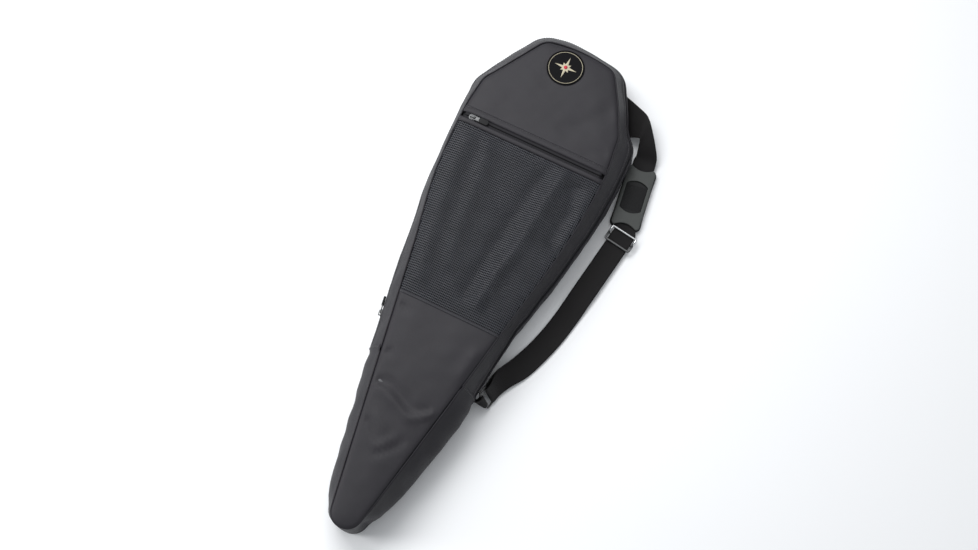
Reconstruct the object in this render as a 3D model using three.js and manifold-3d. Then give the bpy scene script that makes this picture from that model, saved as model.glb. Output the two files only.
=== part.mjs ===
// Teardrop shoulder bag: a long tapered carry case that lies on its back.
// Millimetres, +Z up, +Y from the tail to the head, +X towards the strap side.
// Sewn cloth is drawn as thin shells. The tail stays put, and the front of the
// case above the fold is a lid that swings up about the fold line.

import * as THREE from 'three';
import { mergeVertices } from 'three/addons/utils/BufferGeometryUtils.js';
import Module from 'manifold-3d';

const wasm = await Module();
wasm.setup();

// ---- Driving dimensions ----
const PANEL_LENGTH = 863;          // front panel, tail to head
const PANEL_HALF = 125;            // half of its greatest width
const TAPER = THREE.MathUtils.degToRad(10.1);
const TAIL_RADIUS = 25.5;
const SIDE_RADIUS = 1140;          // long curve from the taper to the full width
const SHOULDER = { y: 749, radius: 30 };
const HEAD = { x: 62, y: 852, radius: 26 };
const CROWN_RADIUS = 250;

const SEAM_Z = 90;                 // height of the front seam
const BACK_SPREAD = 4;             // the back panel is this much wider each side
const BELLY = 18;                  // how far the gusset swells between its seams
const FULL_SWELL_Y = 90;           // towards the tail's tip from here, the swell dies away
const CLOTH = 2;                   // laminated cloth with its lining
const GAP = 0.3;                   // air between pieces that touch
const FOAM = 5.5;

const REST_Y = 430;                // from the tail to the point the case rests on
const FOLD_Y = 275;                // fold line of the lid, from the tail
const FOLD_HALF_GAP = 6;           // cloth left free on each side of the fold
const HEM_Y = 367;                 // lower edge of the mesh pocket
const POCKET_ZIP_Y = 676;
const MAIN_ZIP_Z = 47;

const WEB_WIDTH = 38;
const WEB_THICK = 1.4;

const bag = new THREE.Group();
bag.position.y = -REST_Y;

// ---- Colours and finishes ----
function finish(color, roughness, metalness = 0) {
  return { color, roughness, metalness };
}

const PACK_CLOTH = finish('#37363b', 0.85);
const LINING = finish('#2c2c30', 0.9);
const FOAM_GREY = finish('#6d6e70', 0.95);
const ZIP_TAPE = finish('#29292c', 0.8);
const ZIP_COIL = finish('#1c1c1e', 0.5);
const MESH_CLOTH = finish('#2b2e33', 0.4);
const WEBBING = finish('#222022', 0.8);
const NICKEL = finish('#c9ccd0', 0.25, 1);
const BLACK_STEEL = finish('#1b1c1e', 0.35, 0.8);
const PAD_RUBBER = finish('#26272a', 0.75);
const PAD_SHELL = finish('#55595a', 0.5);
const PATCH_BLACK = finish('#101012', 0.45);
const PATCH_PALE = finish('#b9b4a0', 0.5);

function place(name, geometry, look, parent = bag) {
  const mesh = new THREE.Mesh(geometry, new THREE.MeshStandardMaterial(look));
  mesh.name = name;
  parent.add(mesh);
  return mesh;
}

// ---- Solids ----
function closedSolid(points, triangles) {
  let volume = 0;
  const cross = new THREE.Vector3();
  for (const [a, b, c] of triangles) {
    volume += points[a].dot(cross.crossVectors(points[b], points[c]));
  }
  const order = volume > 0 ? [0, 1, 2] : [0, 2, 1];
  const geometry = new THREE.BufferGeometry();
  const coordinates = points.flatMap((p) => p.toArray());
  geometry.setAttribute('position', new THREE.Float32BufferAttribute(coordinates, 3));
  geometry.setIndex(triangles.flatMap((t) => order.map((k) => t[k])));
  return geometry;
}

// Skins a row of rings. Each ring repeats the outline `section` somewhere in space.
function skin(rings, section, closed = false) {
  const size = section.length;
  const points = rings.flat();
  const triangles = [];
  const steps = closed ? rings.length : rings.length - 1;
  for (let j = 0; j < steps; j++) {
    const here = j * size;
    const next = ((j + 1) % rings.length) * size;
    for (let i = 0; i < size; i++) {
      const k = (i + 1) % size;
      triangles.push([here + i, next + i, next + k], [here + i, next + k, here + k]);
    }
  }
  if (!closed) {
    const last = (rings.length - 1) * size;
    for (const [a, b, c] of THREE.ShapeUtils.triangulateShape(section, [])) {
      triangles.push([a, b, c], [last + a, last + c, last + b]);
    }
  }
  return closedSolid(points, triangles);
}

function toManifold(geometry) {
  const bare = geometry.clone();
  bare.deleteAttribute('normal');
  bare.deleteAttribute('uv');
  const merged = mergeVertices(bare, 1e-4);
  const vertProperties = new Float32Array(merged.attributes.position.array);
  const triVerts = new Uint32Array(merged.index.array);
  return new wasm.Manifold(new wasm.Mesh({ numProp: 3, vertProperties, triVerts }));
}

function fromManifold(solid) {
  const { vertProperties, triVerts } = solid.getMesh();
  const geometry = new THREE.BufferGeometry();
  geometry.setAttribute('position', new THREE.Float32BufferAttribute(vertProperties, 3));
  geometry.setIndex([...triVerts]);
  return geometry;
}

function join(...geometries) {
  return fromManifold(geometries.map(toManifold).reduce((sum, next) => sum.add(next)));
}

function cut(geometry, tool) {
  return fromManifold(toManifold(geometry).subtract(toManifold(tool)));
}

function block(sizeX, sizeY, lowZ, highZ, x = 0, y = 0) {
  const box = new THREE.BoxGeometry(sizeX, sizeY, highZ - lowZ);
  return box.translate(x, y, (lowZ + highZ) / 2);
}

function plate(shape, lowZ, highZ) {
  const options = { depth: highZ - lowZ, bevelEnabled: false, curveSegments: 6 };
  return new THREE.ExtrudeGeometry(shape, options).translate(0, 0, lowZ);
}

function roundedRectangle(width, length, radius) {
  const shape = new THREE.Shape();
  const x = width / 2 - radius;
  const y = length / 2 - radius;
  shape.absarc(x, y, radius, 0, Math.PI / 2);
  shape.absarc(-x, y, radius, Math.PI / 2, Math.PI);
  shape.absarc(-x, -y, radius, Math.PI, 1.5 * Math.PI);
  shape.absarc(x, -y, radius, 1.5 * Math.PI, 2 * Math.PI);
  return shape;
}

// ---- Outline of the front seam ----
// Corners of one half from tail to head, as x, y and corner radius.
const TAIL_CORNER_X = TAIL_RADIUS / Math.tan((Math.PI / 2 + TAPER) / 2);
const SIDE_CORNER_Y = (PANEL_HALF - TAIL_CORNER_X) / Math.tan(TAPER);
const HALF_CORNERS = [
  [TAIL_CORNER_X, 0, TAIL_RADIUS],
  [TAIL_CORNER_X + FULL_SWELL_Y * Math.tan(TAPER), FULL_SWELL_Y, 0],
  [PANEL_HALF, SIDE_CORNER_Y, SIDE_RADIUS],
  [PANEL_HALF, SHOULDER.y, SHOULDER.radius],
  [HEAD.x, HEAD.y, HEAD.radius],
];
const CORNERS = [
  ...HALF_CORNERS,
  [0, PANEL_LENGTH, CROWN_RADIUS],
  ...HALF_CORNERS.map(([x, y, radius]) => [-x, y, radius]).reverse(),
];
const ARC_STEP = THREE.MathUtils.degToRad(13);

// Points with outward normals, counter-clockwise from the right side of the tail.
function roundedStations(corners) {
  const stations = [];
  corners.forEach(([x, y, radius], i) => {
    const before = corners.at(i - 1);
    const after = corners[(i + 1) % corners.length];
    const angleIn = Math.atan2(y - before[1], x - before[0]);
    let angleOut = Math.atan2(after[1] - y, after[0] - x);
    if (angleOut < angleIn) angleOut += 2 * Math.PI;
    const turn = angleOut - angleIn;
    const tangent = radius * Math.tan(turn / 2);
    const startX = x - tangent * Math.cos(angleIn);
    const startY = y - tangent * Math.sin(angleIn);
    const centreX = startX - radius * Math.sin(angleIn);
    const centreY = startY + radius * Math.cos(angleIn);
    const steps = Math.max(3, Math.ceil(turn / ARC_STEP));
    for (let k = 0; k <= steps; k++) {
      const heading = angleIn + (turn * k) / steps;
      const nx = Math.sin(heading);
      const ny = -Math.cos(heading);
      stations.push({ x: centreX + radius * nx, y: centreY + radius * ny, nx, ny });
    }
  });
  return stations.filter((s, i) => {
    const before = stations.at(i - 1);
    return Math.hypot(s.x - before.x, s.y - before.y) > 0.1;
  });
}

const LOOP = roundedStations(CORNERS);

// A station on the straight taper. Side is 1 on the right and -1 on the left.
function taperStation(y, side) {
  const x = TAIL_CORNER_X + y * Math.tan(TAPER);
  return { x: side * x, y, nx: side * Math.cos(TAPER), ny: -Math.sin(TAPER) };
}

function headRun(y) {
  return [taperStation(y, 1), ...LOOP.filter((s) => s.y > y), taperStation(y, -1)];
}

function tailRun(y) {
  const low = LOOP.filter((s) => s.y < y);
  const left = low.filter((s) => s.x < 0.01);
  const right = low.filter((s) => s.x >= 0.01);
  return [taperStation(y, -1), ...left, ...right, taperStation(y, 1)];
}

// ---- Shells that follow the outline ----
function gussetOffset(z) {
  return BACK_SPREAD * (1 - z / SEAM_Z) + BELLY * Math.sin((Math.PI * z) / SEAM_Z);
}

// How far inwards everything at a station moves because the tail's tip doesn't swell.
function drawnIn(station, z) {
  const share = THREE.MathUtils.clamp(station.y / FULL_SWELL_Y, 0, 1) ** 0.6;
  return (1 - share) * gussetOffset(Math.min(z, SEAM_Z));
}

// Section of a strip of gusset between two heights, `inset` behind its outer face.
function gussetStrip(lowZ, highZ, thickness, inset = 0, steps = 4) {
  const rise = (highZ - lowZ) / steps;
  const heights = Array.from({ length: steps + 1 }, (_, k) => lowZ + rise * k);
  const outer = heights.map((z) => new THREE.Vector2(gussetOffset(z) - inset, z));
  const inner = heights.map((z) => new THREE.Vector2(gussetOffset(z) - inset - thickness, z));
  return [...outer, ...inner.reverse()];
}

function boxStrip(lowOffset, highOffset, lowZ, highZ) {
  return [[highOffset, lowZ], [highOffset, highZ], [lowOffset, highZ], [lowOffset, lowZ]]
    .map(([offset, z]) => new THREE.Vector2(offset, z));
}

function wall(section, run, closed = false) {
  const rings = run.map((s) => section.map(({ x, y }) => {
    const out = x - drawnIn(s, y);
    return new THREE.Vector3(s.x + s.nx * out, s.y + s.ny * out, y);
  }));
  return skin(rings, section, closed);
}

// Flat panel inside the outline, moved out by `offset` and kept between two y values.
function panel(offset, lowZ, highZ, lowY = -Infinity, highY = Infinity) {
  const points = LOOP.map((s) => {
    const out = offset - drawnIn(s, highZ);
    return new THREE.Vector2(s.x + s.nx * out, s.y + s.ny * out);
  });
  const kept = [];
  points.forEach((p, i) => {
    const q = points[(i + 1) % points.length];
    if (p.y >= lowY && p.y <= highY) kept.push(p);
    const crossings = [lowY, highY].filter((y) => (p.y - y) * (q.y - y) < 0);
    crossings.sort((a, b) => (q.y > p.y ? a - b : b - a));
    for (const y of crossings) kept.push(p.clone().lerp(q, (y - p.y) / (q.y - p.y)));
  });
  return plate(new THREE.Shape(kept), lowZ, highZ);
}

// ---- Back half of the case ----
const GUSSET_LOW = CLOTH + GAP;
const TAPE_WIDTH = 7.9;
const ZIP_HALF_GAP = 0.8;
const TAPE_THICK = 0.9;
const COIL_THICK = 1.8;
const COIL_WIDTH = 3.2;
const BACK_TAPE_LOW = MAIN_ZIP_Z - ZIP_HALF_GAP - TAPE_WIDTH;
const FRONT_TAPE_HIGH = MAIN_ZIP_Z + ZIP_HALF_GAP + TAPE_WIDTH;
const GUSSET_HIGH = SEAM_Z - GAP;
const TAIL_END_Y = FOLD_Y - FOLD_HALF_GAP;
const LID_START_Y = FOLD_Y + FOLD_HALF_GAP;
const BINDING = { width: 8, offset: 2, thick: 2 };
const FOAM_INSET = 1;              // how far the back foam stays inside the seam
const FRONT_FOAM_INSET = 3;        // the front foam also clears the gusset's seam

function buildBack() {
  const run = headRun(TAIL_END_Y + GAP);
  const foamTop = GUSSET_LOW + FOAM;
  place('back_panel', panel(BACK_SPREAD, 0, CLOTH), PACK_CLOTH);
  place('back_foam', panel(-FOAM_INSET, GUSSET_LOW, foamTop), FOAM_GREY);
  place('back_gusset', wall(gussetStrip(GUSSET_LOW, BACK_TAPE_LOW - GAP, CLOTH), run), PACK_CLOTH);
  const tapeHigh = MAIN_ZIP_Z - ZIP_HALF_GAP;
  const tape = gussetStrip(BACK_TAPE_LOW, tapeHigh, TAPE_THICK, 0, 2);
  place('back_zip_tape', wall(tape, run), ZIP_TAPE);
  const coil = gussetStrip(tapeHigh - COIL_WIDTH, tapeHigh, COIL_THICK, TAPE_THICK + GAP, 1);
  place('back_zip_coil', wall(coil, run), ZIP_COIL);
  const bindingLow = foamTop + GAP;
  const bindingFar = BINDING.offset + BINDING.thick;
  const binding = boxStrip(BINDING.offset, bindingFar, bindingLow, bindingLow + BINDING.width);
  place('back_seam_binding', wall(binding, LOOP, true), LINING);
}

function buildTail() {
  const run = tailRun(TAIL_END_Y);
  place('tail_gusset', wall(gussetStrip(GUSSET_LOW, GUSSET_HIGH, CLOTH, 0, 8), run), PACK_CLOTH);
  const front = panel(0, SEAM_Z, SEAM_Z + CLOTH, -Infinity, TAIL_END_Y);
  place('tail_front_panel', front, PACK_CLOTH);
  const foam = panel(-FRONT_FOAM_INSET - 1, GUSSET_HIGH - FOAM, GUSSET_HIGH, -Infinity, TAIL_END_Y);
  place('tail_foam', foam, FOAM_GREY);
}

// ---- Lid: the front of the case above the fold ----
const THIN = 1.2;                  // single cloth without a lining
const POCKET_DEPTH = 3.4;          // flat pocket, from the front seam to its backing
const LID_BACKING_TOP = SEAM_Z - POCKET_DEPTH;
const LID_BACKING_LOW = LID_BACKING_TOP - THIN;
const LID_BACKING_INSET = 0.8;
const LID_BINDING_OFFSET = 1.5;
const MESH_LOW = SEAM_Z + 0.4;
const MESH_HIGH = MESH_LOW + THIN;
const WELT_WIDTH = 11;             // folded cloth on each side of the pocket zip
const WELT_START = 5;              // from the zip's centre to the folded edge
const HEM_WIDTH = 8;

function buildLid() {
  const run = headRun(LID_START_Y);
  const tapeLow = MAIN_ZIP_Z + ZIP_HALF_GAP;
  const gusset = gussetStrip(FRONT_TAPE_HIGH + GAP, GUSSET_HIGH, CLOTH);
  place('front_gusset', wall(gusset, run), PACK_CLOTH);
  const tape = gussetStrip(tapeLow, FRONT_TAPE_HIGH, TAPE_THICK, 0, 2);
  place('front_zip_tape', wall(tape, run), ZIP_TAPE);
  const coil = gussetStrip(tapeLow, tapeLow + COIL_WIDTH, COIL_THICK, TAPE_THICK + GAP, 1);
  place('front_zip_coil', wall(coil, run), ZIP_COIL);
  const foamTop = LID_BACKING_LOW - GAP;
  place('lid_foam', panel(-FRONT_FOAM_INSET, foamTop - FOAM, foamTop, LID_START_Y), FOAM_GREY);
  const backing = panel(-LID_BACKING_INSET, LID_BACKING_LOW, LID_BACKING_TOP, LID_START_Y);
  place('lid_backing', backing, LINING);
  const bindingTop = foamTop - FOAM - GAP;
  const bindingFar = LID_BINDING_OFFSET + BINDING.thick;
  const binding = boxStrip(LID_BINDING_OFFSET, bindingFar, bindingTop - BINDING.width, bindingTop);
  place('lid_seam_binding', wall(binding, run), LINING);
  const hemLow = HEM_Y - HEM_WIDTH / 2;
  const hemHigh = HEM_Y + HEM_WIDTH / 2;
  const yokeLow = POCKET_ZIP_Y + WELT_START + WELT_WIDTH;
  const meshHigh = POCKET_ZIP_Y - WELT_START - WELT_WIDTH;
  const top = SEAM_Z + CLOTH;
  place('lower_panel', panel(0, SEAM_Z, top, LID_START_Y, hemLow - GAP), PACK_CLOTH);
  place('mesh_hem', panel(0, SEAM_Z, top, hemLow, hemHigh), ZIP_TAPE);
  place('mesh_panel', panel(0, MESH_LOW, MESH_HIGH, hemHigh + GAP, meshHigh - GAP), MESH_CLOTH);
  place('yoke_panel', panel(0, SEAM_Z, top, yokeLow + GAP), PACK_CLOTH);
}

// The pocket zip runs straight across. Its coil is on the underside of the tapes.
const POCKET_HALF = 118;
const POCKET_TAPE_LOW = SEAM_Z;
const POCKET_TAPE_HIGH = POCKET_TAPE_LOW + 0.8;
const POCKET_COIL_HIGH = POCKET_TAPE_LOW - GAP;
const POCKET_COIL_LOW = POCKET_COIL_HIGH - 1.3;
const WELT_CLEAR = 2;              // the tape stops this far inside the welt's seam

function buildPocketZip() {
  for (const [side, word] of [[1, 'upper'], [-1, 'lower']]) {
    const near = POCKET_ZIP_Y + side * ZIP_HALF_GAP;
    const edge = POCKET_ZIP_Y + side * WELT_START;
    const far = edge + side * WELT_WIDTH;
    const weltRange = [Math.min(edge, far), Math.max(edge, far)];
    const tapeWidth = Math.abs(far - near) - WELT_CLEAR;
    const tapeY = near + (side * tapeWidth) / 2;
    const tape = block(2 * POCKET_HALF, tapeWidth, POCKET_TAPE_LOW, POCKET_TAPE_HIGH, 0, tapeY);
    place(`pocket_${word}_tape`, tape, ZIP_TAPE);
    const coilY = near + (side * COIL_WIDTH) / 2;
    const coil = block(2 * POCKET_HALF, COIL_WIDTH, POCKET_COIL_LOW, POCKET_COIL_HIGH, 0, coilY);
    place(`pocket_${word}_coil`, coil, ZIP_COIL);
    const weltLow = POCKET_TAPE_HIGH + GAP;
    place(`pocket_${word}_welt`, panel(0, weltLow, weltLow + THIN, ...weltRange), PACK_CLOTH);
  }
}

// ---- Round patch on the yoke ----
const PATCH = { x: -12, y: 821, radius: 31.5, rim: 2.2, thick: 1.4, rimStep: 0.5 };
const STAR = { points: 4, reach: 15, waist: 4.5, thick: 0.6 };

function disc(radius, lowZ, highZ, segments = 40) {
  return new THREE.CylinderGeometry(radius, radius, highZ - lowZ, segments)
    .rotateX(Math.PI / 2).translate(PATCH.x, PATCH.y, (lowZ + highZ) / 2);
}

function buildPatch() {
  const low = SEAM_Z + CLOTH + GAP;
  const top = low + PATCH.thick;
  const inner = PATCH.radius - PATCH.rim;
  const rim = cut(disc(PATCH.radius, low, top + PATCH.rimStep), disc(inner, low - 1, top + 2));
  place('patch_rim', rim, PATCH_PALE);
  place('patch_disc', disc(inner - GAP, low, top), PATCH_BLACK);
  const tips = Array.from({ length: 2 * STAR.points }, (_, k) => {
    const reach = k % 2 ? STAR.waist : STAR.reach;
    const angle = (k * Math.PI) / STAR.points;
    return new THREE.Vector2(PATCH.x + reach * Math.cos(angle), PATCH.y + reach * Math.sin(angle));
  });
  const starLow = top + GAP;
  place('patch_star', plate(new THREE.Shape(tips), starLow, starLow + STAR.thick), PATCH_PALE);
}

// ---- Zip sliders ----
const ARCH = 3;                    // clear height under the slider's bridge
const PULL_REACH = 16.5;
const SLIDER = { length: 12, width: 9, corner: 3, top: 1.8, bottom: 1.3, post: 3.5 };
const BRIDGE = { foot: 3.6, footLength: 1.6, width: 2.4, span: 8.8, thick: 1, sunk: 0.4 };
const TAB = { start: -1, width: 7, corner: 2.5, half: 0.5 };
const EYE = { length: 4.7, width: 4.4, corner: 0.8 };
const GRIP = { length: 16, width: 8.5, corner: 3, half: 1.6, centre: 20 };
const GRIP_SLOT = { length: 6, width: 7.8, half: 0.8 };

// Drawn flat: X along the zip, Y across it, Z out of the cloth from the tape's outer face.
function sliderBody(topGap, depth) {
  const { length, width, corner } = SLIDER;
  const topHigh = topGap + SLIDER.top;
  const bottomLow = -depth - SLIDER.bottom;
  const top = plate(roundedRectangle(length, width, corner), topGap, topHigh);
  const bottom = plate(roundedRectangle(length, width - 1, corner), bottomLow, -depth);
  const post = block(4, 1, bottomLow + 0.5, topGap + 0.5, SLIDER.post);
  const footLow = topHigh - BRIDGE.sunk;
  const bridgeLow = topHigh + ARCH;
  const feet = [-BRIDGE.foot, BRIDGE.foot]
    .map((x) => block(BRIDGE.footLength, BRIDGE.width, footLow, bridgeLow + BRIDGE.sunk, x));
  const bridge = block(BRIDGE.span, BRIDGE.width, bridgeLow, bridgeLow + BRIDGE.thick);
  return join(top, bottom, post, ...feet, bridge);
}

// A pull lies along +X. Its closed end turns under the bridge, and its eye goes round the bridge's foot.
function pullTab(pivotZ) {
  const length = PULL_REACH - TAB.start;
  const middle = TAB.start + length / 2;
  const tab = roundedRectangle(length, TAB.width, TAB.corner);
  const eyeX = BRIDGE.foot - middle;
  const eye = roundedRectangle(EYE.length, EYE.width, EYE.corner).getPoints(4);
  tab.holes.push(new THREE.Path(eye.map((p) => new THREE.Vector2(p.x + eyeX, p.y))));
  return plate(tab, pivotZ - TAB.half, pivotZ + TAB.half).translate(middle, 0, 0);
}

function pullGrip(pivotZ) {
  const outline = roundedRectangle(GRIP.length, GRIP.width, GRIP.corner);
  const grip = plate(outline, pivotZ - GRIP.half, pivotZ + GRIP.half).translate(GRIP.centre, 0, 0);
  const slotX = PULL_REACH + GAP - GRIP_SLOT.length / 2;
  const slotLow = pivotZ - GRIP_SLOT.half;
  const slotHigh = pivotZ + GRIP_SLOT.half;
  return cut(grip, block(GRIP_SLOT.length, GRIP_SLOT.width, slotLow, slotHigh, slotX));
}

const TOP_GAP = 0.5;
const PIVOT_Z = TOP_GAP + SLIDER.top + ARCH / 2;
const MAIN_TAPE_SLACK = 2.1;       // room for the curve of the tapes inside the slider
const MAIN_SLIDER_STEP = 0.6;

function placeSlider(prefix, group, depth, bodyLook) {
  place(`${prefix}_slider`, sliderBody(TOP_GAP, depth), bodyLook, group);
  place(`${prefix}_pull_tab`, pullTab(PIVOT_Z), bodyLook, group);
  place(`${prefix}_pull_grip`, pullGrip(PIVOT_Z), PAD_RUBBER, group);
}

const POCKET_SLIDER_X = -111;
const MAIN_SLIDER_Y = 332;

function buildSliders() {
  const pocket = new THREE.Group();
  pocket.position.set(POCKET_SLIDER_X, POCKET_ZIP_Y, POCKET_TAPE_HIGH);
  bag.add(pocket);
  placeSlider('pocket', pocket, POCKET_TAPE_HIGH - POCKET_COIL_LOW + GAP, NICKEL);

  const main = new THREE.Group();
  const at = taperStation(MAIN_SLIDER_Y, -1);
  const reach = gussetOffset(MAIN_ZIP_Z) + MAIN_SLIDER_STEP;
  const along = new THREE.Vector3(-Math.sin(TAPER), Math.cos(TAPER), 0);
  const out = new THREE.Vector3(at.nx, at.ny, 0);
  const across = new THREE.Vector3().crossVectors(out, along);
  main.quaternion.setFromRotationMatrix(new THREE.Matrix4().makeBasis(along, across, out));
  main.position.set(at.x + at.nx * reach, at.y + at.ny * reach, MAIN_ZIP_Z);
  bag.add(main);
  placeSlider('main', main, TAPE_THICK + GAP + COIL_THICK + MAIN_TAPE_SLACK, NICKEL);
}

// ---- Shoulder strap ----
// The strap and what is on it are drawn in one group beside the case.
const strapSide = new THREE.Group();
strapSide.position.x = -2;
bag.add(strapSide);

// One webbing: sewn in at the head, through the pad and the adjuster, round the ring,
// and back under itself. Each station is its case-side edge and its outer edge.
const PAD = { x: 182.2, y: 695, length: 112, turn: THREE.MathUtils.degToRad(7.7) };
const ADJUSTER = { x: 190, y: 620, turn: THREE.MathUtils.degToRad(-8.5) };
const STRAP_Z = 7.6;               // middle of the webbing in the pad and the adjuster
const LAID_Z = 3.2;                // middle of the upper layer where it lies
const UNDER_Z = 1;                 // middle of the layer under it

const RING = {
  far: new THREE.Vector3(109.5, 291, 20.5),
  bar: new THREE.Vector3(0.45, -0.22, -0.866).normalize(),
  pull: new THREE.Vector3(0.18, 0.975, -0.154).normalize(),
  height: 15,
  inside: 38.8,
  wire: 1.6,
};
RING.out = new THREE.Vector3().crossVectors(RING.bar, RING.pull);
RING.near = RING.far.clone().addScaledVector(RING.pull, -RING.height);

function flatStation(x, y, z, turn) {
  const half = WEB_WIDTH / 2;
  const dx = half * Math.cos(turn);
  const dy = half * Math.sin(turn);
  return [new THREE.Vector3(x - dx, y - dy, z), new THREE.Vector3(x + dx, y + dy, z)];
}

function station(a, b) {
  return [new THREE.Vector3(...a), new THREE.Vector3(...b)];
}

function alongPad(distance) {
  const x = PAD.x - distance * Math.sin(PAD.turn);
  const y = PAD.y + distance * Math.cos(PAD.turn);
  return flatStation(x, y, STRAP_Z, PAD.turn);
}

function alongAdjuster(distance, z) {
  const x = ADJUSTER.x - distance * Math.sin(ADJUSTER.turn);
  const y = ADJUSTER.y + distance * Math.cos(ADJUSTER.turn);
  return flatStation(x, y, z, ADJUSTER.turn);
}

// A station beside one bar of the ring: `along` the pull and `out` of the ring's plane.
function besideBar(centre, width, along, out) {
  const middle = centre.clone().addScaledVector(RING.pull, along).addScaledVector(RING.out, out);
  return [-width / 2, width / 2].map((d) => middle.clone().addScaledVector(RING.bar, d));
}

// Stations round a bar, from the outer ply to the inner ply. Side is -1 to turn at the bag's end.
function roundBar(centre, width, side, outerPly, innerPly, steps = 6) {
  const radius = (outerPly - innerPly) / 2;
  const middle = (outerPly + innerPly) / 2;
  return Array.from({ length: steps + 1 }, (_, k) => {
    const angle = (Math.PI * k) / steps;
    const along = side * radius * Math.sin(angle);
    return besideBar(centre, width, along, middle + radius * Math.cos(angle));
  });
}

const FREE_STRETCH = [
  [[153.2, 502.8], [190.8, 497.2]],
  [[147.6, 465.2], [185, 458.8]],
  [[140, 428.4], [177, 419.6]],
  [[129.5, 393.1], [165.5, 380.9]],
  [[116.4, 359.8], [151, 344.2]],
];
const OUTER_PLY = RING.wire + 1.7 + WEB_THICK / 2;
const INNER_PLY = -(RING.wire + 0.4 + WEB_THICK / 2);

function strapStations() {
  const head = [
    station([123.6, 781.4, 8], [84.2, 842.4, 8]),
    station([135, 787, 17], [114, 840.5, 20]),
    station([146, 790, 27], [143.5, 827, 33]),
    station([149.5, 780, 22], [161, 808, 32]),
    station([151.5, 771, 15], [176, 788, 24]),
    station([153, 764, 10], [187.5, 771, 13]),
  ];
  const upper = FREE_STRETCH.map(([a, b], i) => {
    const z = i === 0 ? STRAP_Z - 1.2 : LAID_Z;
    return station([...a, i === 4 ? 7.5 : z], [...b, z]);
  });
  const lower = FREE_STRETCH.map(([a, b], i) => {
    return station([...a, i === 4 ? 5.2 : UNDER_Z], [...b, UNDER_Z]);
  });
  return [
    ...head,
    ...[66, 62, 58, 20, -20, -52].map(alongPad),
    ...[16, 10, -30, -70, -92, -98].map((distance) => alongAdjuster(distance, STRAP_Z)),
    ...upper,
    station([104.5, 328, 24], [131.5, 313, 6]),
    besideBar(RING.far, WEB_WIDTH, 8, OUTER_PLY),
    ...roundBar(RING.far, WEB_WIDTH, -1, OUTER_PLY, INNER_PLY),
    besideBar(RING.far, WEB_WIDTH, 8, INNER_PLY),
    station([103, 328, 22], [129.5, 312.6, 3.2]),
    ...lower.reverse(),
    ...[-100, -70, -40, -14].map((distance) => alongAdjuster(distance, UNDER_Z)),
  ];
}

function ribbon(stations, thickness) {
  const middles = stations.map(([a, b]) => a.clone().add(b).multiplyScalar(0.5));
  const rings = stations.map(([a, b], i) => {
    const before = middles[Math.max(i - 1, 0)];
    const after = middles[Math.min(i + 1, middles.length - 1)];
    const along = after.clone().sub(before);
    const face = b.clone().sub(a).cross(along).normalize().multiplyScalar(thickness / 2);
    return [a.clone().sub(face), b.clone().sub(face), b.clone().add(face), a.clone().add(face)];
  });
  const section = [[0, 0], [1, 0], [1, 1], [0, 1]].map(([x, y]) => new THREE.Vector2(x, y));
  return skin(rings, section);
}

// Adds stations between the hand-placed ones on smooth curves through both edges.
function smoothed(stations, spacing) {
  const edges = [0, 1].map((k) => {
    return new THREE.CatmullRomCurve3(stations.map((s) => s[k]), false, 'centripetal');
  });
  const result = [];
  for (let i = 0; i < stations.length - 1; i++) {
    const apart = stations[i][1].distanceTo(stations[i + 1][1]);
    const steps = Math.max(1, Math.round(apart / spacing));
    for (let k = 0; k < steps; k++) {
      const t = (i + k / steps) / (stations.length - 1);
      result.push(edges.map((edge) => edge.getPoint(t)));
    }
  }
  return [...result, stations.at(-1)];
}

const STATION_SPACING = 22;
const RING_TAB_WIDTH = 25;

function buildStrap() {
  const strap = ribbon(smoothed(strapStations(), STATION_SPACING), WEB_THICK);
  place('strap_webbing', strap, WEBBING, strapSide);

  const tabWidth = RING_TAB_WIDTH;
  const ply = RING.wire + 0.4 + WEB_THICK / 2;
  const tab = [
    station([97.5, 268.5, 31], [90, 270, 9.5]),
    besideBar(RING.near, tabWidth, -5, ply),
    ...roundBar(RING.near, tabWidth, 1, ply, -ply),
    besideBar(RING.near, tabWidth, -5, -ply),
    station([95, 271.5, 32], [87.5, 273, 10.5]),
  ];
  place('ring_tab', ribbon(tab, WEB_THICK), WEBBING, strapSide);
  place('strap_ring', ringSolid(), BLACK_STEEL, strapSide);
}

function bar(from, to, radius, sides = 8) {
  const along = to.clone().sub(from);
  const up = new THREE.Vector3(0, 1, 0);
  const turn = new THREE.Quaternion().setFromUnitVectors(up, along.clone().normalize());
  const middle = from.clone().add(to).multiplyScalar(0.5);
  const rod = new THREE.CylinderGeometry(radius, radius, along.length(), sides);
  return rod.applyQuaternion(turn).translate(middle.x, middle.y, middle.z);
}

// A ball that rounds off a corner where two bars of the same radius meet.
const KNOB_SPREAD = 1.06;

function knob(centre, barRadius) {
  const ball = new THREE.SphereGeometry(barRadius * KNOB_SPREAD, 8, 6);
  return ball.translate(centre.x, centre.y, centre.z);
}

function ringSolid() {
  const reach = RING.inside / 2 + RING.wire;
  const corners = [[RING.far, -1], [RING.far, 1], [RING.near, 1], [RING.near, -1]]
    .map(([middle, side]) => middle.clone().addScaledVector(RING.bar, side * reach));
  const rods = corners.map((corner, i) => bar(corner, corners[(i + 1) % 4], RING.wire));
  return join(...rods, ...corners.map((corner) => knob(corner, RING.wire)));
}

// ---- Adjuster: two bars over the webbing and one under it ----
const SLOT_WIDTH = 42.4;
const FRAME_BAR = 3;
const FRAME_LENGTH = 28;
const OVER_Z = STRAP_Z + WEB_THICK / 2 + 0.4 + FRAME_BAR / 2;
const UNDER_BAR = { low: 3.3, high: 5.3, width: 4 };
const FRAME_LEG = { width: 2.4, length: 5 };
const SEWN_END = { thick: 1, length: 12, chamfer: 0.5 };

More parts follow.
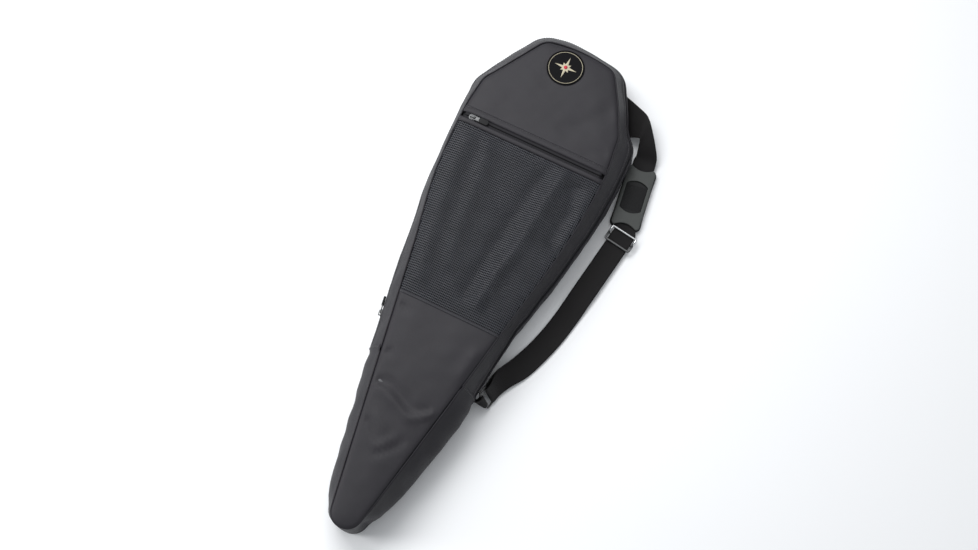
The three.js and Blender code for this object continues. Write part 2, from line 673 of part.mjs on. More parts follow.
function buildAdjuster() {
  const group = new THREE.Group();
  group.position.set(ADJUSTER.x, ADJUSTER.y, 0);
  group.rotation.z = ADJUSTER.turn;
  strapSide.add(group);
  const halfX = SLOT_WIDTH / 2 + FRAME_BAR / 2;
  const halfY = FRAME_LENGTH / 2 - FRAME_BAR / 2;
  const corners = [[-halfX, halfY], [halfX, halfY], [halfX, -halfY], [-halfX, -halfY]]
    .map(([x, y]) => new THREE.Vector3(x, y, OVER_Z));
  const rods = corners.map((corner, i) => bar(corner, corners[(i + 1) % 4], FRAME_BAR / 2));
  const knobs = corners.map((corner) => knob(corner, FRAME_BAR / 2));
  const legs = [-halfX, halfX]
    .map((x) => block(FRAME_LEG.width, FRAME_LEG.length, UNDER_BAR.low, OVER_Z, x));
  const under = block(2 * halfX, UNDER_BAR.width, UNDER_BAR.low, UNDER_BAR.high);
  place('strap_adjuster', join(...rods, ...knobs, ...legs, under), NICKEL, group);

  // The webbing's sewn end wraps the bar under the strap.
  const { thick, length, chamfer } = SEWN_END;
  const lowPly = UNDER_BAR.low - GAP - thick / 2;
  const highPly = UNDER_BAR.high + GAP + thick / 2;
  const nose = UNDER_BAR.width / 2 + 2 * GAP + thick / 2;
  const turns = [[-length, lowPly], [nose - chamfer, lowPly], [nose, lowPly + chamfer]];
  turns.push([nose, highPly - chamfer], [nose - chamfer, highPly], [-length, highPly]);
  const half = WEB_WIDTH / 2;
  const stations = turns.map(([y, z]) => station([-half, y, z], [half, y, z]));
  place('strap_sewn_end', ribbon(stations, thick), WEBBING, group);
}

// ---- Shoulder pad: foam base, moulded top with a window, and the panel in the window ----
const PAD_WIDTH = 52;
const SHELL = { width: 44, length: 106, low: STRAP_Z + WEB_THICK / 2 + 0.4, top: 12.6 };
const WINDOW = { halfWidth: 15.5, halfLength: 20, arch: 6 };

function barrel(inset) {
  const x = WINDOW.halfWidth - inset;
  const y = WINDOW.halfLength - inset;
  const shape = new THREE.Shape();
  shape.moveTo(-x, -y);
  shape.quadraticCurveTo(0, -y - 2 * WINDOW.arch, x, -y);
  shape.lineTo(x, y);
  shape.quadraticCurveTo(0, y + 2 * WINDOW.arch, -x, y);
  return shape;
}

function buildPad() {
  const group = new THREE.Group();
  group.position.set(PAD.x, PAD.y, 0);
  group.rotation.z = PAD.turn;
  strapSide.add(group);
  const baseTop = STRAP_Z - WEB_THICK / 2 - 0.4;
  place('pad_base', plate(roundedRectangle(PAD_WIDTH, PAD.length, 9), GAP, baseTop), PAD_RUBBER, group);
  const cover = plate(roundedRectangle(SHELL.width, SHELL.length, 7), SHELL.low, SHELL.top);
  const railWidth = (SHELL.width - WEB_WIDTH) / 2 - 0.8;
  const railX = SHELL.width / 2 - railWidth / 2;
  const railLength = SHELL.length - 16;
  const rails = [-railX, railX]
    .map((x) => block(railWidth, railLength, baseTop + GAP, SHELL.low + 1, x));
  const shell = cut(join(cover, ...rails), plate(barrel(0), SHELL.low - 1, SHELL.top + 1));
  place('pad_shell', shell, PAD_SHELL, group);
  place('pad_window', plate(barrel(0.5), SHELL.low, SHELL.top - 1.2), PAD_RUBBER, group);
}

buildBack();
buildTail();
buildLid();
buildPocketZip();
buildPatch();
buildSliders();
buildStrap();
buildAdjuster();
buildPad();

export default bag;
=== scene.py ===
"""Teardrop carry case: the finished look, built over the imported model.

Sizes inside the builders are millimetres along the case: X towards the strap side,
Y from the tail to the head, Z up. metres() turns them into the model's own frame.
"""

import math

import bpy
import bmesh
import numpy as np
from bpy.props import FloatProperty, FloatVectorProperty, IntProperty, PointerProperty
from bpy.types import Operator, Panel, PropertyGroup
from mathutils import Matrix, Vector
from mathutils.geometry import delaunay_2d_cdt


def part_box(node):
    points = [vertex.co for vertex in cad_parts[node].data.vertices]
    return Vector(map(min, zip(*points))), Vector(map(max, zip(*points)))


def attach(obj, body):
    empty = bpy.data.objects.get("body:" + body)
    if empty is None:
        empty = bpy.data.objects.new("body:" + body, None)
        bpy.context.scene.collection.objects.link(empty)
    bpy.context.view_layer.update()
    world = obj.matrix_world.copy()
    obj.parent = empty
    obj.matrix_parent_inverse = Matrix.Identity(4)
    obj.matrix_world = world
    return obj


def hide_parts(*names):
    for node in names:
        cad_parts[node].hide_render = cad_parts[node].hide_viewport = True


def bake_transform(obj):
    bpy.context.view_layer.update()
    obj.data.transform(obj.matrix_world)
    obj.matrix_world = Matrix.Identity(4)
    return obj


bl_info = {
    "name": "Teardrop Carry Case",
    "version": (1, 0, 0),
    "blender": (4, 5, 0),
    "location": "View3D > Sidebar > Carry Case",
    "description": "Builds the cloth, zips, padding and strap of a teardrop carry case",
    "category": "Object",
}

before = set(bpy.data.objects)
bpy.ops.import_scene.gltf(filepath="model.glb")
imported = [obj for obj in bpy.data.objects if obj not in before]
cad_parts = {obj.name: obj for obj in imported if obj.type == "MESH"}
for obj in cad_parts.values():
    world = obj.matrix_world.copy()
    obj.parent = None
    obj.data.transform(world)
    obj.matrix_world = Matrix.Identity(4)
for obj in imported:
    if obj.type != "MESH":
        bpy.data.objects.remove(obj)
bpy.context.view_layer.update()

# ---- Sizes of the case, in millimetres ----
REST_Y = 430.0            # from the tail of the front seam to the frame's origin
SEAM_Z = 90.0
FRONT_Z = 92.0            # outer face of the front cloth
PANEL_LENGTH = 863.0
PANEL_HALF = 125.0
TAPER = math.radians(10.1)
TAIL_RADIUS = 25.5
SIDE_RADIUS = 1140.0
SHOULDER = (749.0, 30.0)
HEAD = (62.0, 852.0, 26.0)
CROWN_RADIUS = 250.0
BACK_SPREAD = 4.0
BELLY = 18.0
FULL_SWELL_Y = 90.0
FOLD_Y = 275.0
HEM_Y = 367.0
POCKET_ZIP_Y = 676.0
MAIN_ZIP_Z = 47.0
BACK_BODY = "case_back"
LID_BODY = "lid"


def metres(points):
    """Case millimetres to the model's frame, with the seam where the filled case pulls it."""
    points = np.array(points, float).reshape(-1, 3)
    x, y = points[:, 0], points[:, 1]
    left = np.clip(-x / PANEL_HALF, 0, 1) * (1 - smooth_step(-x, 126, 146))
    right = np.clip(x / PANEL_HALF, 0, 1) ** 2 * (1 - smooth_step(x, 127, 147))
    fuller = 6.0 * smooth_step(y, 430, 590) * (1 - smooth_step(y, 690, 770))
    points[:, 0] = x - left * fuller - right * 7.0 * np.exp(-(((y - 752) / 42.0) ** 2))
    return (points - (0.0, REST_Y, 0.0)) / 1000.0


def smooth_step(value, low, high):
    t = np.clip((value - low) / (high - low), 0, 1)
    return t * t * (3 - 2 * t)


def full_share(y):
    """The sides swell fully from here up, and not at all at the tail's tip."""
    return np.clip(np.asarray(y, float) / FULL_SWELL_Y, 0, 1) ** 0.6


# ---- The front seam's line ----
class SeamLine:
    """The closed line of the front seam, from the middle of the tail up its right side."""

    def __init__(self):
        tail_x = TAIL_RADIUS / math.tan((math.pi / 2 + TAPER) / 2)
        side_y = (PANEL_HALF - tail_x) / math.tan(TAPER)
        half = [
            (tail_x, 0.0, TAIL_RADIUS),
            (PANEL_HALF, side_y, SIDE_RADIUS),
            (PANEL_HALF, *SHOULDER),
            HEAD,
        ]
        corners = [*half, (0.0, PANEL_LENGTH, CROWN_RADIUS)]
        corners += [(-x, y, radius) for x, y, radius in reversed(half)]
        rows = []
        for i, (x, y, radius) in enumerate(corners):
            before, after = corners[i - 1], corners[(i + 1) % len(corners)]
            way_in = math.atan2(y - before[1], x - before[0])
            way_out = math.atan2(after[1] - y, after[0] - x)
            if way_out < way_in:
                way_out += 2 * math.pi
            turn = way_out - way_in
            reach = radius * math.tan(turn / 2)
            centre_x = x - reach * math.cos(way_in) - radius * math.sin(way_in)
            centre_y = y - reach * math.sin(way_in) + radius * math.cos(way_in)
            for k in range(25):
                heading = way_in + turn * k / 24
                nx, ny = math.sin(heading), -math.cos(heading)
                rows.append((centre_x + radius * nx, centre_y + radius * ny, nx, ny))
        start = (0.0, 0.0, 0.0, -1.0)
        rows = [start, *rows, start]
        rows = [r for i, r in enumerate(rows) if i == 0 or math.dist(r[:2], rows[i - 1][:2]) > 0.05]
        table = np.array(rows)
        steps = np.hypot(*np.diff(table[:, :2], axis=0).T)
        self.table = table
        self.along = np.concatenate([[0.0], np.cumsum(steps)])
        self.length = float(self.along[-1])

    def at(self, along):
        """x, y and the outward direction at lengths along the line."""
        along = np.mod(np.asarray(along, float), self.length)
        x, y, nx, ny = (np.interp(along, self.along, self.table[:, k]) for k in range(4))
        size = np.hypot(nx, ny)
        return x, y, nx / size, ny / size

    def where(self, y):
        """Length along the line where its right side passes y."""
        half = self.along <= self.length / 2
        return float(np.interp(y, self.table[half, 1], self.along[half]))

    def loop(self, inset=0.0, spacing=4.0):
        count = int(self.length / spacing)
        x, y, nx, ny = self.at(np.arange(count) * self.length / count)
        return np.stack([x - nx * inset, y - ny * inset], axis=1)

    def distance(self, x, y):
        """How far points lie from the line."""
        ends = self.loop(0.0, 3.0)
        a, b = ends, np.roll(ends, -1, axis=0)
        ab = b - a
        points = np.stack([np.ravel(x), np.ravel(y)], axis=1)
        best = np.full(len(points), 1e9)
        for start in range(0, len(points), 2000):
            p = points[start:start + 2000, None, :]
            t = np.clip(((p - a) * ab).sum(-1) / (ab * ab).sum(-1), 0, 1)
            gap = np.hypot(*np.moveaxis(p - a - t[..., None] * ab, -1, 0))
            best[start:start + 2000] = gap.min(axis=1)
        return best.reshape(np.shape(x))


SEAM = SeamLine()


# ---- Shapes of the cloth ----
def drift(u, v, size, seed):
    """Slow waves, from -1 to 1, the same on every run."""
    maker = np.random.default_rng(seed)
    total = np.zeros(np.broadcast(u, v).shape)
    for _ in range(7):
        angle, phase = maker.uniform(0, 2 * math.pi, 2)
        stretch = maker.uniform(0.7, 1.6) * 2 * math.pi / size
        total += np.sin(stretch * (u * math.cos(angle) + v * math.sin(angle)) + phase)
    return total / 4.0


def folds(x, y, table):
    """Height of soft folds. Each is a line of points, its half width and its height."""
    total = np.zeros(np.shape(x))
    for line, width, height in table:
        gap = np.full(np.shape(x), 1e9)
        for (ax, ay), (bx, by) in zip(line, line[1:]):
            span = (bx - ax) ** 2 + (by - ay) ** 2
            t = np.clip(((x - ax) * (bx - ax) + (y - ay) * (by - ay)) / span, 0, 1)
            gap = np.minimum(gap, np.hypot(x - ax - t * (bx - ax), y - ay - t * (by - ay)))
        total += height * np.exp(-((gap / width) ** 2))
    return total


CLOTH_FOLDS = [
    ([(-44, 214), (-14, 205), (16, 190), (29, 198), (48, 212)], 6.0, 2.4),
    ([(-50, 224), (-30, 230), (-10, 219), (22, 206), (38, 214)], 6.5, -2.0),
    ([(-2, 121), (18, 141), (27, 156)], 5.0, -1.8),
    ([(-6, 132), (12, 152)], 5.0, 1.2),
    ([(-64, 266), (-55, 273)], 5.0, -1.8),
    ([(-76, 349), (-62, 343)], 5.0, -2.0),
    ([(-38, 163), (-15, 147), (-4, 141)], 5.0, -1.6),
    ([(-30, 176), (-8, 160)], 6.0, 1.1),
    ([(66, 284), (68, 320)], 13.0, 1.8),
    ([(35, 722), (83, 775)], 17.0, -1.6),
    ([(-96, 708), (-60, 720)], 14.0, 1.0),
    ([(84, 700), (108, 712)], 9.0, -1.1),
]
POCKET_FOLDS = [
    ([(68, 668), (58, 604), (54, 555), (49, 504), (39, 457), (33, 400)], 11.5, 7.2),
    ([(38, 648), (27, 599), (18, 530), (14, 473), (8, 406)], 12.0, -3.2),
    ([(94, 640), (101, 592), (94, 545)], 13.0, -5.0),
    ([(-96, 640), (-93, 554), (-84, 473), (-68, 400)], 15.0, 3.4),
    ([(-66, 654), (-54, 597), (-48, 505), (-38, 438)], 12.0, 2.6),
    ([(72, 392), (50, 420)], 9.0, 2.4),
]


def front_height(x, y, cloth=True):
    """Outer face of the front of the case."""
    d = SEAM.distance(x, y)
    z = FRONT_Z - 3.2 * np.exp(-d / 1.5) - 2.6 * np.exp(-d / 9.0)
    level = 1 - np.exp(-(((y - POCKET_ZIP_Y) / 26.0) ** 2))
    inner = smooth_step(d, 4.0, 45.0)
    if cloth:
        waves = 0.75 * drift(x, y, 95.0, 3) + 0.3 * drift(x, y, 34.0, 5)
        z = z + level * (inner * (1.2 + waves) + 1.3 * smooth_step(d, 2, 14) * folds(x, y, CLOTH_FOLDS))
    else:
        fade = smooth_step(y, HEM_Y + 2, HEM_Y + 40) * smooth_step(POCKET_ZIP_Y - 10 - y, 0, 26)
        waves = 1.0 + 0.5 * drift(x, y, 80.0, 11) + folds(x, y, POCKET_FOLDS)
        z = z + fade * smooth_step(d, 1, 16) * waves
    return z


# How far the sides swell beyond the seams at half height, by the distance from the tail.
RIGHT_SWELL = [(0, -8), (22, -5), (34, 14), (45, 21), (70, 19), (100, 19), (130, 23), (160, 24),
               (190, 26), (225, 26.5), (250, 25), (264, 20), (280, 17.5), (330, 14), (370, 12.5),
               (400, 10.5), (430, 13.5), (460, 13), (490, 15.5), (550, 16.5), (590, 20), (640, 22),
               (667, 23.5), (740, 22.5), (780, 18), (863, 23)]
LEFT_SWELL = [(0, 24), (40, 26), (70, 20), (100, 19), (133, 18.5), (211, 19.5), (250, 20.5), (310, 19),
              (400, 18.5), (430, 18), (460, 15.5), (490, 13), (520, 12), (610, 11.5), (640, 13.5),
              (670, 15.5), (700, 17.5), (730, 16.5), (760, 19), (790, 20), (863, 23)]


def gusset_offset(along, z):
    """How far the gusset stands outside the front seam's line at a height."""
    x, y, _, _ = SEAM.at(along)
    right = np.interp(y, *zip(*RIGHT_SWELL))
    left = np.interp(y, *zip(*LEFT_SWELL))
    share = smooth_step(x, -40.0, 40.0)
    swell = right * share + left * (1 - share)
    height = np.clip(z, 0, SEAM_Z) / SEAM_Z
    low_belly = share * (0.12 + 0.26 * smooth_step(y, 340, 420))
    arch = np.sin(math.pi * height ** (1 - low_belly))
    base = (BACK_SPREAD * (1 - z / SEAM_Z) + swell * arch) * full_share(y)
    calm = 1 - 0.85 * np.exp(-(((z - MAIN_ZIP_Z) / 11.0) ** 2)) * (y > FOLD_Y)
    waves = 1.1 * drift(along, z * 1.4, 120.0, 21) + 1.1 * drift(along, z * 0.9, 46.0, 23)
    high = np.exp(-(((z - 74.0) / 10.0) ** 2))
    ripple = np.maximum(0.0, np.sin(along / 9.5 + 1.6 * np.sin(along / 31.0)))
    side = smooth_step(y, 380, 430) * (1 - smooth_step(y, 600, 650)) * (x > 0)
    tail = (1 - smooth_step(y, 200, 250)) * 0.6
    pucker = (2.6 * side + tail) * ripple * high
    return base + calm * arch * (waves + pucker)


def gusset_points(along, rows):
    """A grid of points on the gusset: one line along the case for each (z, extra) row."""
    x, y, nx, ny = SEAM.at(along)
    raised = 5.0 * smooth_step(x, 0.0, 60.0) * smooth_step(y, 290, 380)
    grid = []
    for row, extra in rows:
        z = row + raised * math.sin(math.pi * row / SEAM_Z)
        off = gusset_offset(along, z) + extra
        grid.append(np.stack([x + nx * off, y + ny * off, z], axis=1))
    return np.array(grid)


# ---- Making meshes ----
def add_object(name, points, faces, coords, material):
    """An object at the origin with its place in its mesh. points are millimetres."""
    mesh = bpy.data.meshes.new(name)
    mesh.from_pydata([tuple(p) for p in metres(points)], [], faces)
    mesh.validate()
    obj = bpy.data.objects.new(name, mesh)
    bpy.context.scene.collection.objects.link(obj)
    if coords is not None:
        layer = mesh.uv_layers.new(name="Cloth")
        loops = np.empty(len(mesh.loops), np.int32)
        mesh.loops.foreach_get("vertex_index", loops)
        layer.data.foreach_set("uv", np.asarray(coords, np.float32)[loops].ravel())
    mesh.materials.append(material)
    face_outwards(mesh)
    smooth_all(mesh)
    return obj


def smooth_all(mesh):
    mesh.polygons.foreach_set("use_smooth", [True] * len(mesh.polygons))


def face_outwards(mesh):
    shape = bmesh.new()
    shape.from_mesh(mesh)
    if shape.calc_volume(signed=True) < 0:
        bmesh.ops.reverse_faces(shape, faces=shape.faces)
        shape.to_mesh(mesh)
    shape.free()


def shell(name, grid, thickness, material, loop=False):
    """A closed sheet of cloth. grid is rows of points on its outer face."""
    grid = np.asarray(grid, float)
    rows, cols = grid.shape[:2]
    across = np.gradient(grid, axis=0)
    if loop:
        onwards = np.roll(grid, -1, axis=1) - np.roll(grid, 1, axis=1)
    else:
        onwards = np.gradient(grid, axis=1)
    normal = np.cross(onwards, across)
    normal /= np.maximum(np.linalg.norm(normal, axis=-1, keepdims=True), 1e-9)
    inner = grid - normal * thickness
    points = np.concatenate([grid.reshape(-1, 3), inner.reshape(-1, 3)])
    faces = []
    half = rows * cols
    steps = cols if loop else cols - 1
    for r in range(rows - 1):
        for c in range(steps):
            k = (c + 1) % cols
            a, b, d, e = r * cols + c, r * cols + k, (r + 1) * cols + k, (r + 1) * cols + c
            faces.append((a, b, d, e))
            faces.append((half + e, half + d, half + b, half + a))
    for c in range(steps):
        k = (c + 1) % cols
        faces.append((half + c, half + k, k, c))
        last = (rows - 1) * cols
        faces.append((last + c, last + k, half + last + k, half + last + c))
    if not loop:
        for r in range(rows - 1):
            a, b = r * cols, (r + 1) * cols
            faces.append((a, b, half + b, half + a))
            faces.append((half + a + cols - 1, half + b + cols - 1, b + cols - 1, a + cols - 1))
    coords = grid_coords(grid).reshape(-1, 2)
    return add_object(name, points, faces, np.concatenate([coords, coords]), material)


def grid_coords(grid):
    """Cloth coordinates in metres, from lengths along and across a grid."""
    middle = grid[len(grid) // 2]
    along = np.concatenate([[0], np.cumsum(np.linalg.norm(np.diff(middle, axis=0), axis=1))])
    column = grid[:, grid.shape[1] // 2]
    across = np.concatenate([[0], np.cumsum(np.linalg.norm(np.diff(column, axis=0), axis=1))])
    u, v = np.meshgrid(along, across)
    return np.stack([u, v], axis=-1) / 1000.0


def clipped(loop, low, high):
    """The part of a closed line between two y values, with straight cuts across."""
    spacing = 5.0
    kept = []
    for p, q in zip(loop, np.roll(loop, -1, axis=0)):
        if low <= p[1] <= high:
            kept.append(p)
        crossings = [y for y in (low, high) if (p[1] - y) * (q[1] - y) < 0]
        crossings.sort(reverse=bool(q[1] < p[1]))
        for y in crossings:
            kept.append(p + (q - p) * (y - p[1]) / (q[1] - p[1]))
    result = []
    for p, q in zip(kept, kept[1:] + kept[:1]):
        gap = float(np.linalg.norm(q - p))
        count = max(1, int(gap / spacing)) if gap > 1.5 * spacing else 1
        result += [p + (q - p) * k / count for k in range(count)]
    cleaned = [p for i, p in enumerate(result) if np.linalg.norm(p - result[i - 1]) > 0.05]
    return np.array(cleaned)


def flat_triangles(low, high, outset=0.0, spacing=6.0):
    """Points and triangles filling the seam line's shape between two y values."""
    edge = clipped(SEAM.loop(-outset), low, high)
    inside = []
    for step in (0.8, 1.8, 3.2, 5.5, 9.0, 13.5):
        ring = SEAM.loop(step - outset)
        inside.append(ring[(ring[:, 1] > low + 1.5) & (ring[:, 1] < high - 1.5)])
    xs = np.arange(-PANEL_HALF, PANEL_HALF, spacing)
    ys = np.arange(max(low, 0) + spacing / 2, min(high, PANEL_LENGTH) - 1, spacing)
    gx, gy = (g.ravel() for g in np.meshgrid(xs, ys))
    gx = gx + (np.round(gy / spacing) % 2) * spacing / 2
    half = np.interp(gy, *half_width_table())
    keep = (SEAM.distance(gx, gy) > 17.0 - outset) & (np.abs(gx) < half)
    inside.append(np.stack([gx, gy], axis=1)[keep])
    points = np.concatenate([edge, *inside])
    ring = list(range(len(edge)))
    found = delaunay_2d_cdt([Vector(p) for p in points], [], [ring], 1, 1e-5)
    return np.array([tuple(v) for v in found[0]]), [tuple(f) for f in found[2]]


def drawn_in(flat, outset, height):
    """Draws flat points in towards the middle of the tail, as its sides do at a height."""
    x, y = flat[:, 0], flat[:, 1]
    plain = BACK_SPREAD * (1 - height / SEAM_Z) + BELLY * math.sin(math.pi * height / SEAM_Z)
    reach = np.maximum(np.interp(y, *half_width_table()), TAIL_RADIUS) + outset
    ratio = 1 - (1 - full_share(y)) * plain / reach
    low = np.minimum(y - TAIL_RADIUS, 0)
    return np.column_stack([x * ratio, y - low + low * ratio])


def half_width_table():
    half = SEAM.along <= SEAM.length / 2
    return SEAM.table[half, 1], SEAM.table[half, 0]


def close_triangles(name, flat, triangles, outer, inner, material):
    """A closed panel between two heights over the same flat triangles."""
    count = len(flat)
    points = np.concatenate([np.column_stack([flat, outer]), np.column_stack([flat, inner])])
    faces = list(triangles)
    faces += [tuple(count + i for i in reversed(t)) for t in triangles]
    seen = {}
    for t in triangles:
        for a, b in zip(t, t[1:] + t[:1]):
            seen[(a, b)] = True
    for a, b in seen:
        if (b, a) not in seen:
            faces.append((b, a, count + a, count + b))
    coords = np.concatenate([flat, flat]) / 1000.0
    return add_object(name, points, faces, coords, material)


def front_panel(name, low, high, thickness, material, drop=0.0, outset=0.0):
    flat, triangles = flat_triangles(low, high, outset)
    outer = front_height(flat[:, 0], flat[:, 1]) - drop
    return close_triangles(name, flat, triangles, outer, outer - thickness, material)


def swept(name, path, radius, material, sides, closed=True):
    """A round bar along a line of points."""
    path = np.asarray(path, float)
    count = len(path)
    if closed:
        along = np.roll(path, -1, axis=0) - np.roll(path, 1, axis=0)
    else:
        along = np.gradient(path, axis=0)
    along /= np.linalg.norm(along, axis=1, keepdims=True)
    side = np.cross(along[0], (0.31, 0.17, 0.93))
    points = []
    for i in range(count):
        side = side - along[i] * np.dot(side, along[i])
        side /= np.linalg.norm(side)
        up = np.cross(along[i], side)
        for k in range(sides):
            angle = 2 * math.pi * k / sides
            points.append(path[i] + radius * (math.cos(angle) * side + math.sin(angle) * up))
    steps = count if closed else count - 1
    best = 0
    if closed:
        first = np.array(points[:sides])
        last = np.array(points[-sides:]) + path[0] - path[-1]
        best = int(np.argmin([np.abs(np.roll(first, -k, axis=0) - last).sum() for k in range(sides)]))
    faces = []
    for i in range(steps):
        shift = best if i == count - 1 else 0
        n = (i + 1) % count
        for k in range(sides):
            m = (k + 1) % sides
            faces.append((i * sides + k, i * sides + m,
                          n * sides + (m + shift) % sides, n * sides + (k + shift) % sides))
    if not closed:
        faces.append(tuple(reversed(range(sides))))
        faces.append(tuple((count - 1) * sides + k for k in range(sides)))
    return add_object(name, points, faces, None, material)


def rounded_path(corners, radius, closed=True):
    """A line through 3-D corners with each corner rounded off."""
    corners = [np.array(c, float) for c in corners]
    steps = 6
    path = []
    for i, corner in enumerate(corners):
        if not closed and i in (0, len(corners) - 1):
            path.append(corner)
            continue
        before, after = corners[i - 1] - corner, corners[(i + 1) % len(corners)] - corner
        before /= np.linalg.norm(before)
        after /= np.linalg.norm(after)
        start, end = corner + before * radius, corner + after * radius
        for k in range(steps + 1):
            t = k / steps
            path.append((1 - t) ** 2 * start + 2 * t * (1 - t) * corner + t * t * end)
    return np.array(path)


def softened(name, node, width, material):
    """A copy of a model's own piece with its edges rounded over."""
    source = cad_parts[node]
    shape = bmesh.new()
    shape.from_mesh(source.data)
    bmesh.ops.remove_doubles(shape, verts=shape.verts, dist=1e-6)
    bmesh.ops.dissolve_limit(shape, angle_limit=math.radians(2), verts=shape.verts, edges=shape.edges)
    mesh = bpy.data.meshes.new(name)
    shape.to_mesh(mesh)
    shape.free()
    obj = bpy.data.objects.new(name, mesh)
    bpy.context.scene.collection.objects.link(obj)
    round_over = obj.modifiers.new("Rounded edges", "BEVEL")
    round_over.width = width / 1000
    round_over.segments = 3
    round_over.limit_method = "ANGLE"
    round_over.angle_limit = math.radians(35)
    finish_modifiers(obj)
    obj.data.materials.clear()
    obj.data.materials.append(material)
    smooth_all(obj.data)
    obj.data.set_sharp_from_angle(angle=math.radians(50))
    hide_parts(node)
    return obj


def finish_modifiers(obj):
    """Turns a piece and its modifiers into one plain mesh."""
    bpy.context.view_layer.update()
    depsgraph = bpy.context.evaluated_depsgraph_get()
    mesh = bpy.data.meshes.new_from_object(obj.evaluated_get(depsgraph), depsgraph=depsgraph)
    mesh.name = obj.name
    obj.modifiers.clear()
    obj.data = mesh
    return obj


# ---- Finishes ----
class Finish:
    """One material, built node by node."""

    def __init__(self, name, color, roughness, **sockets):
        self.material = bpy.data.materials.new(name)
        self.material.use_nodes = True
        self.tree = self.material.node_tree
        self.shader = self.tree.nodes["Principled BSDF"]
        self.color = tuple(color[:3]) + (1.0,)
        self.shader.inputs["Base Color"].default_value = self.color
        self.shader.inputs["Roughness"].default_value = roughness
        for label, value in sockets.items():
            self.shader.inputs[label.replace("_", " ")].default_value = value
        self.bumps = None

    def node(self, kind, link=None, **values):
        item = self.tree.nodes.new(kind)
        for key, value in values.items():
            setattr(item, key, value)
        if link is not None:
            self.tree.links.new(link, item.inputs[0])
        return item

    def cloth_place(self):
        return self.node("ShaderNodeUVMap", uv_map="Cloth").outputs[0]

    def object_place(self):
        return self.node("ShaderNodeTexCoord").outputs["Object"]

    def wave(self, place, pitch, direction, distortion=0.0):
        """Ridges a pitch apart, in metres."""
        item = self.node("ShaderNodeTexWave", link=place, bands_direction=direction)
        item.inputs["Scale"].default_value = 2 * math.pi / (20.0 * pitch)
        item.inputs["Distortion"].default_value = distortion
        return item.outputs["Fac"]

    def noise(self, place, size, detail):
        item = self.node("ShaderNodeTexNoise", link=place)
        item.inputs["Scale"].default_value = 1.0 / size
        item.inputs["Detail"].default_value = detail
        return item.outputs["Fac"]

    def math(self, operation, a, b):
        item = self.node("ShaderNodeMath", operation=operation)
        for k, value in enumerate((a, b)):
            if isinstance(value, (int, float)):
                item.inputs[k].default_value = value
            else:
                self.tree.links.new(value, item.inputs[k])
        return item.outputs[0]

    def mix(self, a, b, share):
        """A blend of two patterns, with this share of the first."""
        rest = round(1 - share, 6)
        return self.math("ADD", self.math("MULTIPLY", a, share), self.math("MULTIPLY", b, rest))

    def remap(self, value, low, high, to_low, to_high):
        item = self.node("ShaderNodeMapRange", link=value)
        for k, number in enumerate((low, high, to_low, to_high)):
            item.inputs[k + 1].default_value = number
        return item.outputs[0]

    def tint(self, share, darker, lighter):
        """Base colour between a darker and a lighter shade of its own."""
        ramp = self.node("ShaderNodeValToRGB", link=share)
        for stop, factor in zip(ramp.color_ramp.elements, (darker, lighter)):
            stop.color = tuple(min(1.0, c * factor) for c in self.color[:3]) + (1.0,)
        self.tree.links.new(ramp.outputs[0], self.shader.inputs["Base Color"])

    def rough(self, value, low, high):
        self.tree.links.new(self.remap(value, 0, 1, low, high), self.shader.inputs["Roughness"])

    def bump(self, height, distance, strength):
        item = self.node("ShaderNodeBump")
        item.inputs["Strength"].default_value = strength
        item.inputs["Distance"].default_value = distance
        self.tree.links.new(height, item.inputs["Height"])
        if self.bumps is not None:
            self.tree.links.new(self.bumps, item.inputs["Normal"])
        self.bumps = item.outputs[0]
        self.tree.links.new(self.bumps, self.shader.inputs["Normal"])


def woven(name, color, pitch, roughness=0.5, relief=0.00012, shade=0.16, gloss=0.24):
    """Plain weave: warp and weft ridges with slubs and slow changes of shade."""
    look = Finish(name, color, roughness, Specular_IOR_Level=gloss)
    place = look.cloth_place()
    warp = look.wave(place, pitch, "X")
    weft = look.wave(place, pitch * 1.1, "Y")
    threads = look.math("MULTIPLY", look.math("ADD", warp, weft), 0.5)
    slubs = look.noise(place, 0.0016, 2.0)
    slow = look.noise(place, 0.055, 4.0)
    mixed = look.mix(threads, slow, 0.35)
    mixed = look.mix(mixed, slubs, 0.75)
    look.tint(look.remap(mixed, 0.3, 0.7, 0.0, 1.0), 1 - shade, 1 + shade)
    look.rough(slow, roughness - 0.06, roughness + 0.06)
    look.bump(threads, relief, 0.8)
    look.bump(slubs, relief * 1.2, 0.6)
    look.bump(slow, 0.0009, 0.35)
    return look.material


def webbing_cloth(name, color):
    """Strap webbing: fine cross ribs with a few rows along it."""
    look = Finish(name, color, 0.62, Specular_IOR_Level=0.18)
    place = look.cloth_place()
    ribs = look.wave(place, 0.0011, "X")
    rows = look.wave(place, 0.0021, "Y", distortion=0.3)
    slow = look.noise(place, 0.03, 3.0)
    fibre = look.noise(place, 0.0009, 2.0)
    weave = look.mix(ribs, rows, 0.5)
    share = look.mix(weave, slow, 0.5)
    look.tint(look.remap(share, 0.25, 0.75, 0.0, 1.0), 0.7, 1.35)
    look.rough(slow, 0.55, 0.7)
    look.bump(weave, 0.00022, 0.9)
    look.bump(fibre, 0.00012, 0.5)
    return look.material


def brushed_tricot(name, color):
    look = Finish(name, color, 0.9, Sheen_Weight=0.5, Sheen_Roughness=0.5)
    place = look.cloth_place()
    loops = look.wave(place, 0.0014, "DIAGONAL", distortion=1.0)
    nap = look.noise(place, 0.0011, 4.0)
    slow = look.noise(place, 0.04, 3.0)
    mixed = look.mix(nap, slow, 0.5)
    look.tint(mixed, 0.72, 1.3)
    look.bump(loops, 0.00018, 0.5)
    look.bump(nap, 0.0003, 0.6)
    return look.material


